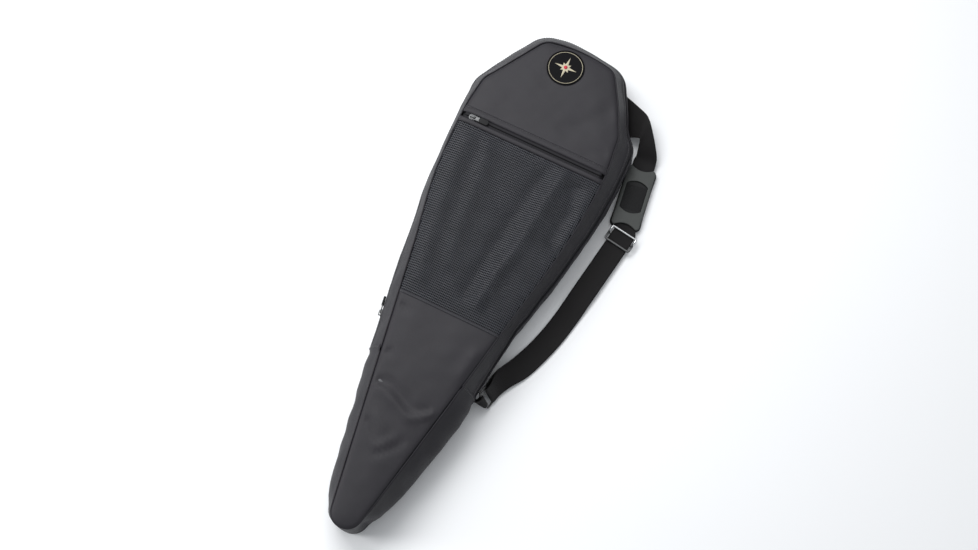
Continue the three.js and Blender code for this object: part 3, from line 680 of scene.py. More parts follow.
def coated_thread(name, color):
    """Glossy coated threads of the open grid."""
    look = Finish(name, color, 0.3, Specular_IOR_Level=0.5)
    place = look.object_place()
    slow = look.noise(place, 0.03, 3.0)
    grit = look.noise(place, 0.0012, 3.0)
    look.tint(slow, 0.75, 1.3)
    look.rough(grit, 0.24, 0.4)
    look.bump(grit, 0.0001, 0.6)
    return look.material


def plated(name, color, roughness=0.18):
    look = Finish(name, color, roughness, Metallic=1.0)
    place = look.object_place()
    haze = look.noise(place, 0.004, 5.0)
    look.tint(haze, 0.86, 1.06)
    look.rough(haze, roughness * 0.7, roughness * 1.7)
    look.bump(look.noise(place, 0.0006, 2.0), 0.00003, 0.5)
    return look.material


def enamel(name, color):
    look = Finish(name, color, 0.3, Coat_Weight=0.12, Coat_Roughness=0.15)
    place = look.object_place()
    peel = look.noise(place, 0.0015, 2.0)
    look.tint(look.noise(place, 0.006, 3.0), 0.8, 1.3)
    look.rough(peel, 0.22, 0.42)
    look.bump(peel, 0.00005, 0.6)
    return look.material


def moulded(name, color, roughness, grain=0.0007, relief=0.0001, gloss=0.2):
    look = Finish(name, color, roughness, Specular_IOR_Level=gloss)
    place = look.object_place()
    fine = look.noise(place, grain, 3.0)
    slow = look.noise(place, 0.02, 3.0)
    mixed = look.mix(fine, slow, 0.4)
    look.tint(mixed, 0.82, 1.18)
    look.rough(slow, roughness - 0.07, roughness + 0.07)
    look.bump(fine, relief, 0.7)
    return look.material


def spun_thread(name, color):
    look = Finish(name, color, 0.6, Sheen_Weight=0.3)
    place = look.object_place()
    look.tint(look.noise(place, 0.0008, 3.0), 0.7, 1.35)
    look.bump(look.noise(place, 0.0004, 2.0), 0.0001, 0.7)
    return look.material


def pale_floor(name, color):
    look = Finish(name, color, 0.9)
    place = look.object_place()
    slow = look.noise(place, 0.6, 2.0)
    look.tint(slow, 0.985, 1.01)
    look.bump(look.noise(place, 0.002, 2.0), 0.00005, 0.2)
    return look.material


LOOKS = {}


def make_looks(colours):
    """Every finish of the case, by name."""
    LOOKS.update({
        "pack_cloth": woven("Pack cloth", colours.cloth, 0.0009),
        # Gusset pieces use the pack cloth darkened by 0.86: painted shade for the case's side walls, which
        # face away from the light.
        "gusset_cloth": woven("Gusset cloth with painted shade", tuple(c * 0.86 for c in colours.cloth), 0.0009,
                              shade=0.2, gloss=0.18),
        "lining": woven("Lining cloth", colours.lining, 0.0007, 0.7, 0.00006),
        "tape": woven("Zip tape", colours.tape, 0.0012, 0.7, 0.00015),
        "hem": woven("Hem binding", colours.hem, 0.0014, 0.6, 0.0002),
        "foam_cover": brushed_tricot("Foam cover", colours.foam),
        "webbing": webbing_cloth("Strap webbing", colours.webbing),
        "grid": coated_thread("Coated grid", colours.grid),
        "thread": spun_thread("Stitching thread", colours.thread),
        "coil": moulded("Zip coil", colours.coil, 0.4),
        "nickel": plated("Nickel plate", colours.nickel),
        # Nickel darkened to 0.22 with a rougher finish: the darker colour is painted shade for the
        # adjuster's lower half and middle bar; the roughness is its own.
        "nickel_satin": plated("Satin nickel with painted shade", tuple(c * 0.22 for c in colours.nickel), 0.34),
        "nickel_dark": plated("Dark nickel", tuple(c * 0.13 for c in colours.nickel), 0.36),
        "black_enamel": enamel("Black enamel", (0.006, 0.006, 0.0065)),
        "rubber": moulded("Moulded rubber", colours.rubber, 0.62, 0.0009, 0.00016),
        "pad_shell": moulded("Pad shell", colours.shell, 0.46, 0.0012, 0.00014),
        "patch_cloth": woven("Badge cloth", (0.005, 0.005, 0.006), 0.0009, 0.6, 0.0001, gloss=0.06),
        "patch_thread": spun_thread("Badge thread", colours.badge),
        "patch_red": spun_thread("Badge red thread", (0.45, 0.012, 0.03)),
    })


# ---- Rows of like shapes, by Geometry Nodes ----
def row_tree():
    """Beads in a row along a line: stitches of thread, or the turns of a zip coil."""
    tree = bpy.data.node_groups.get("Row along a line")
    if tree:
        return tree
    tree = bpy.data.node_groups.new("Row along a line", "GeometryNodeTree")
    face = tree.interface
    face.new_socket("Line", in_out="INPUT", socket_type="NodeSocketGeometry")
    for label in ("Pitch", "Length", "Width", "Height"):
        face.new_socket(label, in_out="INPUT", socket_type="NodeSocketFloat")
    face.new_socket("Finish", in_out="INPUT", socket_type="NodeSocketMaterial")
    face.new_socket("Row", in_out="OUTPUT", socket_type="NodeSocketGeometry")
    add, link = tree.nodes.new, tree.links.new
    start, end = add("NodeGroupInput"), add("NodeGroupOutput")
    curve = add("GeometryNodeMeshToCurve")
    link(start.outputs["Line"], curve.inputs[0])
    spaced = add("GeometryNodeResampleCurve")
    spaced.mode = "LENGTH"
    link(curve.outputs[0], spaced.inputs["Curve"])
    link(start.outputs["Pitch"], spaced.inputs["Length"])
    tangent = add("GeometryNodeInputTangent")
    along = add("FunctionNodeAlignRotationToVector")
    along.axis = "X"
    link(tangent.outputs[0], along.inputs["Vector"])
    away = add("GeometryNodeInputNamedAttribute")
    away.data_type = "FLOAT_VECTOR"
    away.inputs["Name"].default_value = "away"
    upright = add("FunctionNodeAlignRotationToVector")
    upright.axis = "Z"
    upright.pivot_axis = "X"
    link(along.outputs[0], upright.inputs["Rotation"])
    link(away.outputs[0], upright.inputs["Vector"])
    bead = add("GeometryNodeMeshUVSphere")
    bead.inputs["Segments"].default_value = 6
    bead.inputs["Rings"].default_value = 5
    bead.inputs["Radius"].default_value = 0.5
    size = add("ShaderNodeCombineXYZ")
    for k, label in enumerate(("Length", "Width", "Height")):
        link(start.outputs[label], size.inputs[k])
    shaped = add("GeometryNodeTransform")
    link(bead.outputs["Mesh"], shaped.inputs["Geometry"])
    link(size.outputs[0], shaped.inputs["Scale"])
    placed = add("GeometryNodeInstanceOnPoints")
    link(spaced.outputs[0], placed.inputs["Points"])
    link(shaped.outputs[0], placed.inputs["Instance"])
    link(upright.outputs[0], placed.inputs["Rotation"])
    real = add("GeometryNodeRealizeInstances")
    link(placed.outputs[0], real.inputs[0])
    coloured = add("GeometryNodeSetMaterial")
    link(real.outputs[0], coloured.inputs["Geometry"])
    link(start.outputs["Finish"], coloured.inputs["Material"])
    link(coloured.outputs[0], end.inputs[0])
    return tree


def grid_tree():
    """Round threads along the edges of a net, in two directions."""
    tree = bpy.data.node_groups.new("Open grid", "GeometryNodeTree")
    face = tree.interface
    face.new_socket("Net", in_out="INPUT", socket_type="NodeSocketGeometry")
    for label in ("Cross thread", "Long thread"):
        face.new_socket(label, in_out="INPUT", socket_type="NodeSocketFloat")
    face.new_socket("Finish", in_out="INPUT", socket_type="NodeSocketMaterial")
    face.new_socket("Grid", in_out="OUTPUT", socket_type="NodeSocketGeometry")
    add, link = tree.nodes.new, tree.links.new
    start, end = add("NodeGroupInput"), add("NodeGroupOutput")
    crosswise = add("GeometryNodeInputNamedAttribute")
    crosswise.data_type = "BOOLEAN"
    crosswise.inputs["Name"].default_value = "crosswise"
    lengthwise = add("FunctionNodeBooleanMath")
    lengthwise.operation = "NOT"
    link(crosswise.outputs[0], lengthwise.inputs[0])
    joined = add("GeometryNodeJoinGeometry")
    for chosen, label in ((crosswise, "Cross thread"), (lengthwise, "Long thread")):
        line = add("GeometryNodeMeshToCurve")
        link(start.outputs["Net"], line.inputs[0])
        link(chosen.outputs[0], line.inputs["Selection"])
        circle = add("GeometryNodeCurvePrimitiveCircle")
        circle.inputs["Resolution"].default_value = 5
        link(start.outputs[label], circle.inputs["Radius"])
        threads = add("GeometryNodeCurveToMesh")
        threads.inputs["Fill Caps"].default_value = True
        link(line.outputs[0], threads.inputs["Curve"])
        link(circle.outputs[0], threads.inputs["Profile Curve"])
        link(threads.outputs[0], joined.inputs[0])
    real = add("GeometryNodeRealizeInstances")
    link(joined.outputs[0], real.inputs[0])
    coloured = add("GeometryNodeSetMaterial")
    link(real.outputs[0], coloured.inputs["Geometry"])
    link(start.outputs["Finish"], coloured.inputs["Material"])
    link(coloured.outputs[0], end.inputs[0])
    return tree


def grow(obj, tree, **inputs):
    """Runs a node tree on a piece and keeps the plain mesh."""
    modifier = obj.modifiers.new("Shape", "NODES")
    modifier.node_group = tree
    for item in tree.interface.items_tree:
        if item.in_out == "INPUT" and item.name.replace(" ", "_") in inputs:
            modifier[item.identifier] = inputs[item.name.replace(" ", "_")]
    finish_modifiers(obj)
    smooth_all(obj.data)
    return obj


def bead_row(name, lines, aways, pitch, size, material):
    """Beads along lines of points. aways are the directions out of the cloth there."""
    points, edges, ups = [], [], []
    for line, away in zip(lines, aways):
        base = len(points)
        points += [tuple(p) for p in metres(line)]
        ups.append(np.broadcast_to(np.asarray(away, float), (len(line), 3)))
        edges += [(base + i, base + i + 1) for i in range(len(line) - 1)]
    mesh = bpy.data.meshes.new(name)
    mesh.from_pydata(points, edges, [])
    layer = mesh.attributes.new("away", "FLOAT_VECTOR", "POINT")
    layer.data.foreach_set("vector", np.concatenate(ups).astype(np.float32).ravel())
    obj = bpy.data.objects.new(name, mesh)
    bpy.context.scene.collection.objects.link(obj)
    length, width, height = (v / 1000 for v in size)
    return grow(obj, row_tree(), Pitch=pitch / 1000, Length=length, Width=width, Height=height,
                Finish=material)


STITCH = (3.1, 0.75, 0.6)


def stitches(name, lines, aways, pitch=4.0):
    return bead_row(name, lines, aways, pitch, STITCH, LOOKS["thread"])


def dress(obj, slot, body, *nodes):
    """Gives a piece its body and hides the model's own pieces it stands for. slot is not used."""
    if nodes:
        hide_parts(*nodes)
    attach(obj, body)


def bend_with_lid(obj):
    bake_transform(obj)
    return obj


# ---- Settings in the sidebar ----
def size_setting(name, description, default, low, high):
    return FloatProperty(name=name, description=description, default=default, min=low, max=high,
                         unit="LENGTH")


def colour_setting(name, description, default):
    return FloatVectorProperty(name=name, description=description, default=default, min=0, max=1,
                               size=3, subtype="COLOR")


class CaseSizes(PropertyGroup):
    cloth_thickness: size_setting("Cloth thickness", "Thickness of the sewn cloth", 0.0012, 0.0005, 0.003)
    grid_cross: size_setting("Cross pitch", "Spacing of the grid's cross threads", 0.00375, 0.002, 0.01)
    grid_long: size_setting("Long pitch", "Spacing of the grid's long threads", 0.0028, 0.002, 0.01)
    grid_thread: size_setting("Grid thread", "Thickness of the grid's threads", 0.0014, 0.0005, 0.003)
    stitch_pitch: size_setting("Stitch pitch", "Spacing of the stitches", 0.004, 0.002, 0.01)
    coil_pitch: size_setting("Coil pitch", "Spacing of the zip coil's turns", 0.002, 0.001, 0.004)
    webbing_width: size_setting("Webbing width", "Width of the shoulder strap", 0.038, 0.02, 0.05)
    padding_steps: IntProperty(
        name="Padding steps", description="Frames of cloth simulation for the padding", default=16,
        min=1, max=40)


class CaseColours(PropertyGroup):
    cloth: colour_setting("Cloth", "Pack cloth", (0.021, 0.0198, 0.0238))
    lining: colour_setting("Lining", "Lining cloth", (0.007, 0.007, 0.009))
    tape: colour_setting("Zip tape", "Zip tape", (0.012, 0.0115, 0.014))
    hem: colour_setting("Hem", "Binding of the pocket's hem", (0.026, 0.026, 0.031))
    foam: colour_setting("Foam cover", "Cover of the padding", (0.09, 0.092, 0.098))
    webbing: colour_setting("Webbing", "Shoulder strap", (0.0085, 0.0078, 0.0083))
    grid: colour_setting("Open grid", "Pocket's coated grid", (0.034, 0.036, 0.044))
    thread: colour_setting("Thread", "Stitching", (0.018, 0.017, 0.02))
    coil: colour_setting("Coil", "Zip coils", (0.016, 0.016, 0.018))
    nickel: colour_setting("Nickel", "Bright metal", (0.68, 0.69, 0.7))
    rubber: colour_setting("Rubber", "Moulded rubber", (0.011, 0.0112, 0.012))
    shell: colour_setting("Pad shell", "Top of the shoulder pad", (0.062, 0.066, 0.064))
    badge: colour_setting("Badge", "Badge's pale thread", (0.42, 0.38, 0.27))


def sizes():
    return bpy.context.scene.carry_case_sizes


# ---- The stage ----
class CARRYCASE_OT_stage(Operator):
    """Make the pale floor, the soft lights and the camera"""
    bl_idname = "carrycase.stage"
    bl_label = "Stage"

    def execute(self, context):
        scene = context.scene
        scene.view_settings.view_transform = "Standard"
        size = 4000.0
        corners = [(-size, REST_Y - size, -0.4), (size, REST_Y - size, -0.4),
                   (size, REST_Y + size, -0.4), (-size, REST_Y + size, -0.4)]
        mesh = bpy.data.meshes.new("floor")
        mesh.from_pydata([tuple(p) for p in metres(corners)], [], [(0, 1, 2, 3)])
        mesh.materials.append(pale_floor("Pale floor", (0.9, 0.91, 0.925)))
        floor = bpy.data.objects.new("floor", mesh)
        scene.collection.objects.link(floor)

        world = bpy.data.worlds.new("Studio")
        world.use_nodes = True
        sky = world.node_tree.nodes["Background"]
        sky.inputs["Color"].default_value = (0.94, 0.97, 1.0, 1.0)
        sky.inputs["Strength"].default_value = 0.4
        scene.world = world

        target = Vector((0.0240, 0.0307, 0.045))
        away = Vector((0.1140, -0.2333, 0.9657)).normalized()
        right = Vector((0.8984, 0.4392, 0.0))
        right = (right - away * right.dot(away)).normalized()
        up = away.cross(right)
        camera_data = bpy.data.cameras.new("Camera")
        camera_data.lens = 47.85
        camera_data.sensor_width = 36.0
        camera = bpy.data.objects.new("Camera", camera_data)
        facing = Matrix((right, up, away)).transposed().to_4x4()
        camera.matrix_world = Matrix.Translation(target + away * 2.0938) @ facing
        scene.collection.objects.link(camera)
        scene.camera = camera

        def softbox(name, side, rise, height, width, power):
            light_data = bpy.data.lights.new(name, "AREA")
            light_data.shape = "RECTANGLE"
            light_data.size, light_data.size_y = width
            light_data.energy = power
            light = bpy.data.objects.new(name, light_data)
            place = target + right * side + up * rise + Vector((0, 0, height))
            light.location = place
            light.rotation_euler = (target - place).to_track_quat("-Z", "Y").to_euler()
            scene.collection.objects.link(light)

        softbox("Key light", -0.45, 1.0, 1.3, (1.5, 1.0), 28.0)
        softbox("Top light", 0.2, 0.6, 1.8, (2.0, 2.0), 10.0)
        softbox("Side light", -1.7, -0.1, 1.0, (0.6, 1.6), 20.0)
        softbox("Fill light", 1.7, -0.9, 1.6, (1.4, 1.4), 1.5)
        return {"FINISHED"}


# ---- Front of the case ----
class CARRYCASE_OT_front_cloth(Operator):
    """Make the plain front cloth below the pocket and the yoke above it"""
    bl_idname = "carrycase.front_cloth"
    bl_label = "Front cloth"

    def execute(self, context):
        thick = sizes().cloth_thickness * 1000
        lower = front_panel("lower_cloth", -50, HEM_Y + 1, thick, LOOKS["pack_cloth"])
        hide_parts("tail_front_panel", "lower_panel")
        bend_with_lid(lower)
        yoke = front_panel("yoke_cloth", POCKET_ZIP_Y + 12, 950, thick, LOOKS["pack_cloth"])
        dress(yoke, "pack_cloth", LID_BODY, "yoke_panel")
        return {"FINISHED"}


class CARRYCASE_OT_mesh_pocket(Operator):
    """Make the open grid of the pocket, its hem and the cloth behind it"""
    bl_idname = "carrycase.mesh_pocket"
    bl_label = "Mesh pocket"

    def execute(self, context):
        self.grid()
        self.hem()
        backing = front_panel("pocket_backing", FOLD_Y + 7, 950, 0.9, LOOKS["lining"], 5.4, -0.8)
        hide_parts("lid_backing")
        bend_with_lid(backing)
        return {"FINISHED"}

    def grid(self):
        across, down = sizes().grid_long * 1000, sizes().grid_cross * 1000
        low, high = HEM_Y - 2, POCKET_ZIP_Y - 9
        ys = np.arange(low, high, down)
        columns = np.arange(-round(PANEL_HALF / across), round(PANEL_HALF / across) + 1) * across
        half = np.interp(ys, *half_width_table()) - 0.8
        points, edges, crosswise, index = [], [], [], {}
        for r, (y, reach) in enumerate(zip(ys, half)):
            xs = [x for x in columns if abs(x) < reach - 0.4]
            keys = [round(x / across) for x in xs]
            start = len(points)
            for x, key in zip([-reach, *xs, reach], [None, *keys, None]):
                if key is not None:
                    index[(r, key)] = len(points)
                points.append((x, y))
            for k in range(start, len(points) - 1):
                edges.append((k, k + 1))
                crosswise.append(True)
        for (r, key), point in index.items():
            if (r + 1, key) in index:
                edges.append((point, index[(r + 1, key)]))
                crosswise.append(False)
        flat = np.array(points)
        z = front_height(flat[:, 0], flat[:, 1], cloth=False) - 0.6
        mesh = bpy.data.meshes.new("mesh_pocket")
        mesh.from_pydata([tuple(p) for p in metres(np.column_stack([flat, z]))], edges, [])
        layer = mesh.attributes.new("crosswise", "BOOLEAN", "EDGE")
        flags = {tuple(sorted(e)): f for e, f in zip(edges, crosswise)}
        layer.data.foreach_set("value", [flags[tuple(sorted(e.vertices))] for e in mesh.edges])
        net = bpy.data.objects.new("mesh_pocket", mesh)
        bpy.context.scene.collection.objects.link(net)
        thread = sizes().grid_thread / 2
        grow(net, grid_tree(), Cross_thread=thread * 1.1, Long_thread=thread * 0.7,
             Finish=LOOKS["grid"])
        dress(net, "pocket_mesh", LID_BODY, "mesh_panel")

    def hem(self):
        rows = [(-2.6, -0.4), (-2.5, 0.6), (-1.6, 1.1), (0.0, 1.3), (1.5, 1.2), (2.5, 0.7), (2.8, -0.7)]
        hem = cross_band("pocket_hem", HEM_Y, rows, 0.9, LOOKS["hem"])
        dress(hem, "zip_tape", LID_BODY, "mesh_hem")
        line = cross_line(HEM_Y - 0.9, 1.35)
        seam = stitches("pocket_hem_stitches", [line], [(0, 0, 1)])
        dress(seam, "pack_cloth", LID_BODY)


def cross_line(y, lift, trim=2.5):
    half = float(np.interp(y, *half_width_table())) - trim
    xs = np.linspace(-half, half, 50)
    ys = np.full(len(xs), y)
    return np.column_stack([xs, ys, front_height(xs, ys) + lift])


def cross_band(name, middle, rows, thickness, material):
    """A strip of cloth sewn straight across the front. rows are (y from its middle, height)."""
    lines = []
    for step, lift in rows:
        y = middle + step
        half = float(np.interp(y, *half_width_table())) - 0.3
        near = np.array([0.0, 0.7, 1.6, 3.0, 5.0, 8.0, 12.0])
        xs = np.concatenate([-half + near, np.linspace(-half + 17, half - 17, 44), (half - near)[::-1]])
        ys = np.full(len(xs), y)
        lines.append(np.column_stack([xs, ys, front_height(xs, ys) + lift]))
    return shell(name, lines, thickness, material)


class CARRYCASE_OT_pocket_zip(Operator):
    """Make the pocket's zip: welts, tapes, coil, slider and pull"""
    bl_idname = "carrycase.pocket_zip"
    bl_label = "Pocket zip"

    def execute(self, context):
        upper = [(5.4, -1.7), (4.8, -0.6), (5.2, 0.9), (6.6, 1.9), (9.0, 2.1), (12.0, 1.6), (14.5, 1.0),
                 (16.4, 0.8), (17.2, -0.4)]
        lower = [(-5.4, -1.8), (-4.8, -0.7), (-5.1, 0.7), (-6.2, 1.5), (-8.0, 1.5), (-10.0, 0.9),
                 (-11.6, 0.7), (-12.2, -1.0)]
        for word, profile, stitch_y, side in (("upper", upper, 14.8, 1), ("lower", lower, -10.6, -1)):
            welt = cross_band(f"pocket_{word}_fold", POCKET_ZIP_Y, profile, 0.9, LOOKS["pack_cloth"])
            dress(welt, "pack_cloth", LID_BODY, f"pocket_{word}_welt")
            line = cross_line(POCKET_ZIP_Y + stitch_y, 1.3)
            seam = stitches(f"pocket_{word}_stitches", [line], [(0, 0, 1)])
            dress(seam, "pack_cloth", LID_BODY)
            self.tape(word, side)
        make_slider("pocket")
        return {"FINISHED"}

    def tape(self, word, side):
        profile = [(11.5, -1.3), (8.0, -1.25), (5.0, -1.2), (4.4, -1.2), (3.4, -1.0), (2.4, -0.75),
                   (1.4, -0.8), (0.75, -1.1), (0.7, -1.6)]
        xs = np.linspace(-119, 119, 60)
        lines = []
        for step, lift in profile:
            y = POCKET_ZIP_Y + side * step
            lines.append(np.column_stack([xs, np.full(60, y), np.full(60, 92.0 + lift)]))
        tape = shell(f"pocket_{word}_zip_tape", lines, 0.55, LOOKS["tape"])
        dress(tape, "zip_tape", LID_BODY, f"pocket_{word}_tape")
        line = np.column_stack([xs, np.full(60, POCKET_ZIP_Y + side * 2.0), np.full(60, 89.5)])
        coil = bead_row(f"pocket_{word}_zip_coil", [line], [(0, 0, 1)], sizes().coil_pitch * 1000,
                        (1.3, 3.4, 1.7), LOOKS["coil"])
        dress(coil, "zip_coil", LID_BODY, f"pocket_{word}_coil")


def make_slider(prefix):
    """The slider and its pull, with their edges rounded over."""
    body = softened(f"{prefix}_zip_slider", f"{prefix}_slider", 0.35, LOOKS["nickel_dark"])
    dress(body, "nickel", f"{prefix}_slider")
    tab = softened(f"{prefix}_zip_tab", f"{prefix}_pull_tab", 0.22, LOOKS["nickel_dark"])
    dress(tab, "nickel", f"{prefix}_pull")
    grip = softened(f"{prefix}_zip_grip", f"{prefix}_pull_grip", 0.7, LOOKS["rubber"])
    dress(grip, "pull_rubber", f"{prefix}_pull")


class CARRYCASE_OT_badge(Operator):
    """Make the round badge on the yoke, with a plain star"""
    bl_idname = "carrycase.badge"
    bl_label = "Badge"

    def execute(self, context):
        low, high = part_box("patch_rim")
        centre = (low + high) / 2
        x, y = centre[0] * 1000, centre[1] * 1000 + REST_Y
        radius = (high[0] - low[0]) * 500
        self.disc(x, y, radius)
        self.rim(x, y, radius)
        self.star(x, y)
        return {"FINISHED"}

    def disc(self, x, y, radius):
        rings, segments = 12, 64
        points = [(x, y)]
        for r in range(1, rings + 1):
            for k in range(segments):
                angle = 2 * math.pi * k / segments
                reach = (radius - 1.6) * r / rings
                points.append((x + reach * math.cos(angle), y + reach * math.sin(angle)))
        flat = np.array(points)
        z = front_height(flat[:, 0], flat[:, 1]) + 0.95
        triangles = [(0, 1 + k, 1 + (k + 1) % segments) for k in range(segments)]
        for r in range(rings - 1):
            a, b = 1 + r * segments, 1 + (r + 1) * segments
            for k in range(segments):
                m = (k + 1) % segments
                triangles += [(a + k, b + k, b + m), (a + k, b + m, a + m)]
        disc = close_triangles("badge_disc", flat, triangles, z, z - 0.8, LOOKS["patch_cloth"])
        dress(disc, "patch_black", LID_BODY, "patch_disc")

    def rim(self, x, y, radius):
        angles = np.linspace(0, 2 * math.pi, 97)[:-1]
        for name, reach, thick, look in (("badge_rim", radius - 1.2, 1.1, "patch_cloth"),
                                         ("badge_ring", radius - 3.6, 0.4, "patch_thread")):
            ring = np.column_stack([x + reach * np.cos(angles), y + reach * np.sin(angles)])
            z = front_height(ring[:, 0], ring[:, 1]) + (1.0 if name == "badge_rim" else 1.15)
            bar = swept(name, np.column_stack([ring, z]), thick, LOOKS[look], 8)
            if name == "badge_rim":
                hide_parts("patch_rim")
            dress(bar, "patch_pale", LID_BODY)
        ring = np.column_stack([x + (radius - 1.2) * np.cos(angles), y + (radius - 1.2) * np.sin(angles)])
        line = np.column_stack([ring, front_height(ring[:, 0], ring[:, 1]) + 1.55])
        line = np.concatenate([line, line[:1]])
        wraps = bead_row("badge_rim_wraps", [line], [(0, 0, 1)], 1.5, (1.1, 2.5, 1.5), LOOKS["patch_cloth"])
        dress(wraps, "patch_black", LID_BODY)

    def star(self, x, y):
        points, count = [], 16
        for k in range(count):
            angle = 2 * math.pi * k / count + math.pi / 2
            reach = (19.5, 5.8, 9.6, 5.8)[k % 4]
            points.append((x + reach * math.cos(angle), y + reach * math.sin(angle)))
        flat = np.array([(x, y), *points])
        z = front_height(flat[:, 0], flat[:, 1]) + 1.35
        z[0] += 0.9
        triangles = [(0, 1 + k, 1 + (k + 1) % count) for k in range(count)]
        star = close_triangles("badge_star", flat, triangles, z, z - 0.35 - (z - z[1]) * 0.9,
                               LOOKS["patch_thread"])
        star.data.polygons.foreach_set("use_smooth", [False] * len(star.data.polygons))
        dress(star, "patch_pale", LID_BODY, "patch_star")
        angles = np.linspace(0, 2 * math.pi, 25)[:-1]
        ring = [(x + 3.1 * math.cos(a), y + 3.1 * math.sin(a)) for a in angles]
        flat = np.array([(x, y), *ring])
        z = front_height(flat[:, 0], flat[:, 1]) + 2.45
        z[0] += 0.8
        triangles = [(0, 1 + k, 1 + (k + 1) % 24) for k in range(24)]
        dot = close_triangles("badge_dot", flat, triangles, z, np.full(25, z[1] - 1.0), LOOKS["patch_red"])
        dress(dot, "patch_pale", LID_BODY)


# ---- Sides of the case ----
BACK_ROWS = [(3.4, -3.4), (2.2, -0.8), (3.0, 0.6), (4.6, 0.8), (7, 0.2), (10, 0), (14, 0), (18, 0),
             (22, 0), (26, 0), (30, 0), (33.5, 0.1), (36.5, 0.9), (39, 1.9), (41, 2.0), (42.2, 1.2),
             (42.3, 0.1), (41.6, -0.8)]
FRONT_ROWS = [(52.4, -0.9), (51.6, -0.2), (51.7, 0.7), (53, 1.4), (55, 1.5), (57.5, 0.8), (60.5, 0.1),
              (64, 0), (68, 0), (72, 0), (76, 0), (80, 0), (83.5, 0), (86, 0.3), (87.7, 0.2),
              (88.1, -0.7), (87.4, -1.8), (86.0, -2.8)]
TAIL_ROWS = [(3.4, -3.4), (2.2, -0.8), (3.0, 0.6), (4.6, 0.8), (7, 0.2), (10, 0), (15, 0), (20, 0),
             (25, 0), (30, 0), (35, 0), (40, 0), (45, 0), (50, 0), (55, 0), (60, 0), (65, 0), (70, 0),
             (75, 0), (79, 0), (83.5, 0), (86, 0.3), (87.7, 0.2), (88.1, -0.7), (87.4, -1.8),
             (86.0, -2.8)]
BACK_TAPE = [(34, -1.7), (38, -1.0), (42, -0.7), (43.6, -0.6), (44.8, -0.1), (45.8, 0.1), (46.6, -0.1),
             (46.9, -0.5)]
FRONT_TAPE = [(60, -1.7), (56, -1.0), (52, -0.7), (50.4, -0.6), (49.2, -0.1), (48.2, 0.1), (47.4, -0.1),
              (47.1, -0.5)]


def head_run(y, spacing=4.0):
    """Lengths along the seam line from y on the right, round the head, to y on the left."""
    start = SEAM.where(y)
    count = int((SEAM.length - 2 * start) / spacing) + 1
    return np.linspace(start, SEAM.length - start, count)


def tail_run(y, spacing=4.0):
    end = SEAM.where(y)
    return np.linspace(-end, end, int(2 * end / spacing) + 1)


def gusset_line(along, z, lift):
    grid = gusset_points(along, [(z, lift)])[0]
    _, _, nx, ny = SEAM.at(along)
    return grid, np.column_stack([nx, ny, np.zeros(len(nx))])


class CARRYCASE_OT_gusset(Operator):
    """Make the sides: the tail's gusset, and the two halves along the main zip"""
    bl_idname = "carrycase.gusset"
    bl_label = "Gusset"

    def execute(self, context):
        thick = sizes().cloth_thickness * 1000
        run = head_run(FOLD_Y - 3)
        # The gusset halves take the darker copy of the pack cloth: painted shade.
        back = shell("back_gusset_cloth", gusset_points(run, BACK_ROWS), thick, LOOKS["gusset_cloth"])
        dress(back, "pack_cloth", BACK_BODY, "back_gusset")
        front = shell("front_gusset_cloth", gusset_points(run, FRONT_ROWS), thick, LOOKS["gusset_cloth"])
        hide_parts("front_gusset")
        bend_with_lid(front)
        self.tail(thick)
        self.topstitching()
        return {"FINISHED"}

    def tail(self, thick):
        run = tail_run(FOLD_Y + 1.5)
        _, y, nx, ny = SEAM.at(run)
        raised = 1.7 * smooth_step(y, FOLD_Y - 9, FOLD_Y - 5)
        grid = gusset_points(run, TAIL_ROWS)
        outward = np.stack([nx, ny, np.zeros(len(nx))], axis=1)
        grid = grid + (raised[None, :, None] * outward[None, :, :])
        # The tail's gusset takes the same darker copy of the pack cloth: painted shade.
        tail = shell("tail_gusset_cloth", grid, thick, LOOKS["gusset_cloth"])
        dress(tail, "pack_cloth", BACK_BODY, "tail_gusset")
        lines, aways = [], []
        for along in (SEAM.where(FOLD_Y - 2.5), SEAM.length - SEAM.where(FOLD_Y - 2.5)):
            heights = np.linspace(5, 85, 41)
            px, py, nx, ny = SEAM.at(np.array([along]))
            off = gusset_offset(np.full(41, along), heights) + 1.9
            lines.append(np.column_stack([px + nx * off, py + ny * off, heights]))
            aways.append((float(nx[0]), float(ny[0]), 0))
        seam = stitches("cross_seam_stitches", lines, aways)
        dress(seam, "pack_cloth", BACK_BODY)

    def topstitching(self):
        pitch = sizes().stitch_pitch * 1000
        for name, z, lift, body in (("back_zip_stitches", 37.4, 1.35, BACK_BODY),
                                    ("front_zip_stitches", 56.4, 1.45, None)):
            line, aways = gusset_line(head_run(FOLD_Y + 3), z, lift)
            row = stitches(name, [line], [aways], pitch)
            if body:
                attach(row, body)
            else:
                bend_with_lid(row)


class CARRYCASE_OT_main_zip(Operator):
    """Make the main zip: its tapes, its coils, its slider and its pull"""
    bl_idname = "carrycase.main_zip"
    bl_label = "Main zip"

    def execute(self, context):
        run = head_run(FOLD_Y - 2)
        for word, rows, coil_z in (("back", BACK_TAPE, 45.5), ("front", FRONT_TAPE, 48.5)):
            tape = shell(f"{word}_main_tape", gusset_points(run, rows), 0.7, LOOKS["tape"])
            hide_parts(f"{word}_zip_tape")
            line, aways = gusset_line(run, coil_z, -1.9)
            coil = bead_row(f"{word}_main_coil", [line], [aways], sizes().coil_pitch * 1000,
                            (1.35, 3.6, 1.8), LOOKS["coil"])
            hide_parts(f"{word}_zip_coil")
            for piece in (tape, coil):
                if word == "back":
                    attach(piece, BACK_BODY)
                else:
                    bend_with_lid(piece)
        make_slider("main")
        return {"FINISHED"}


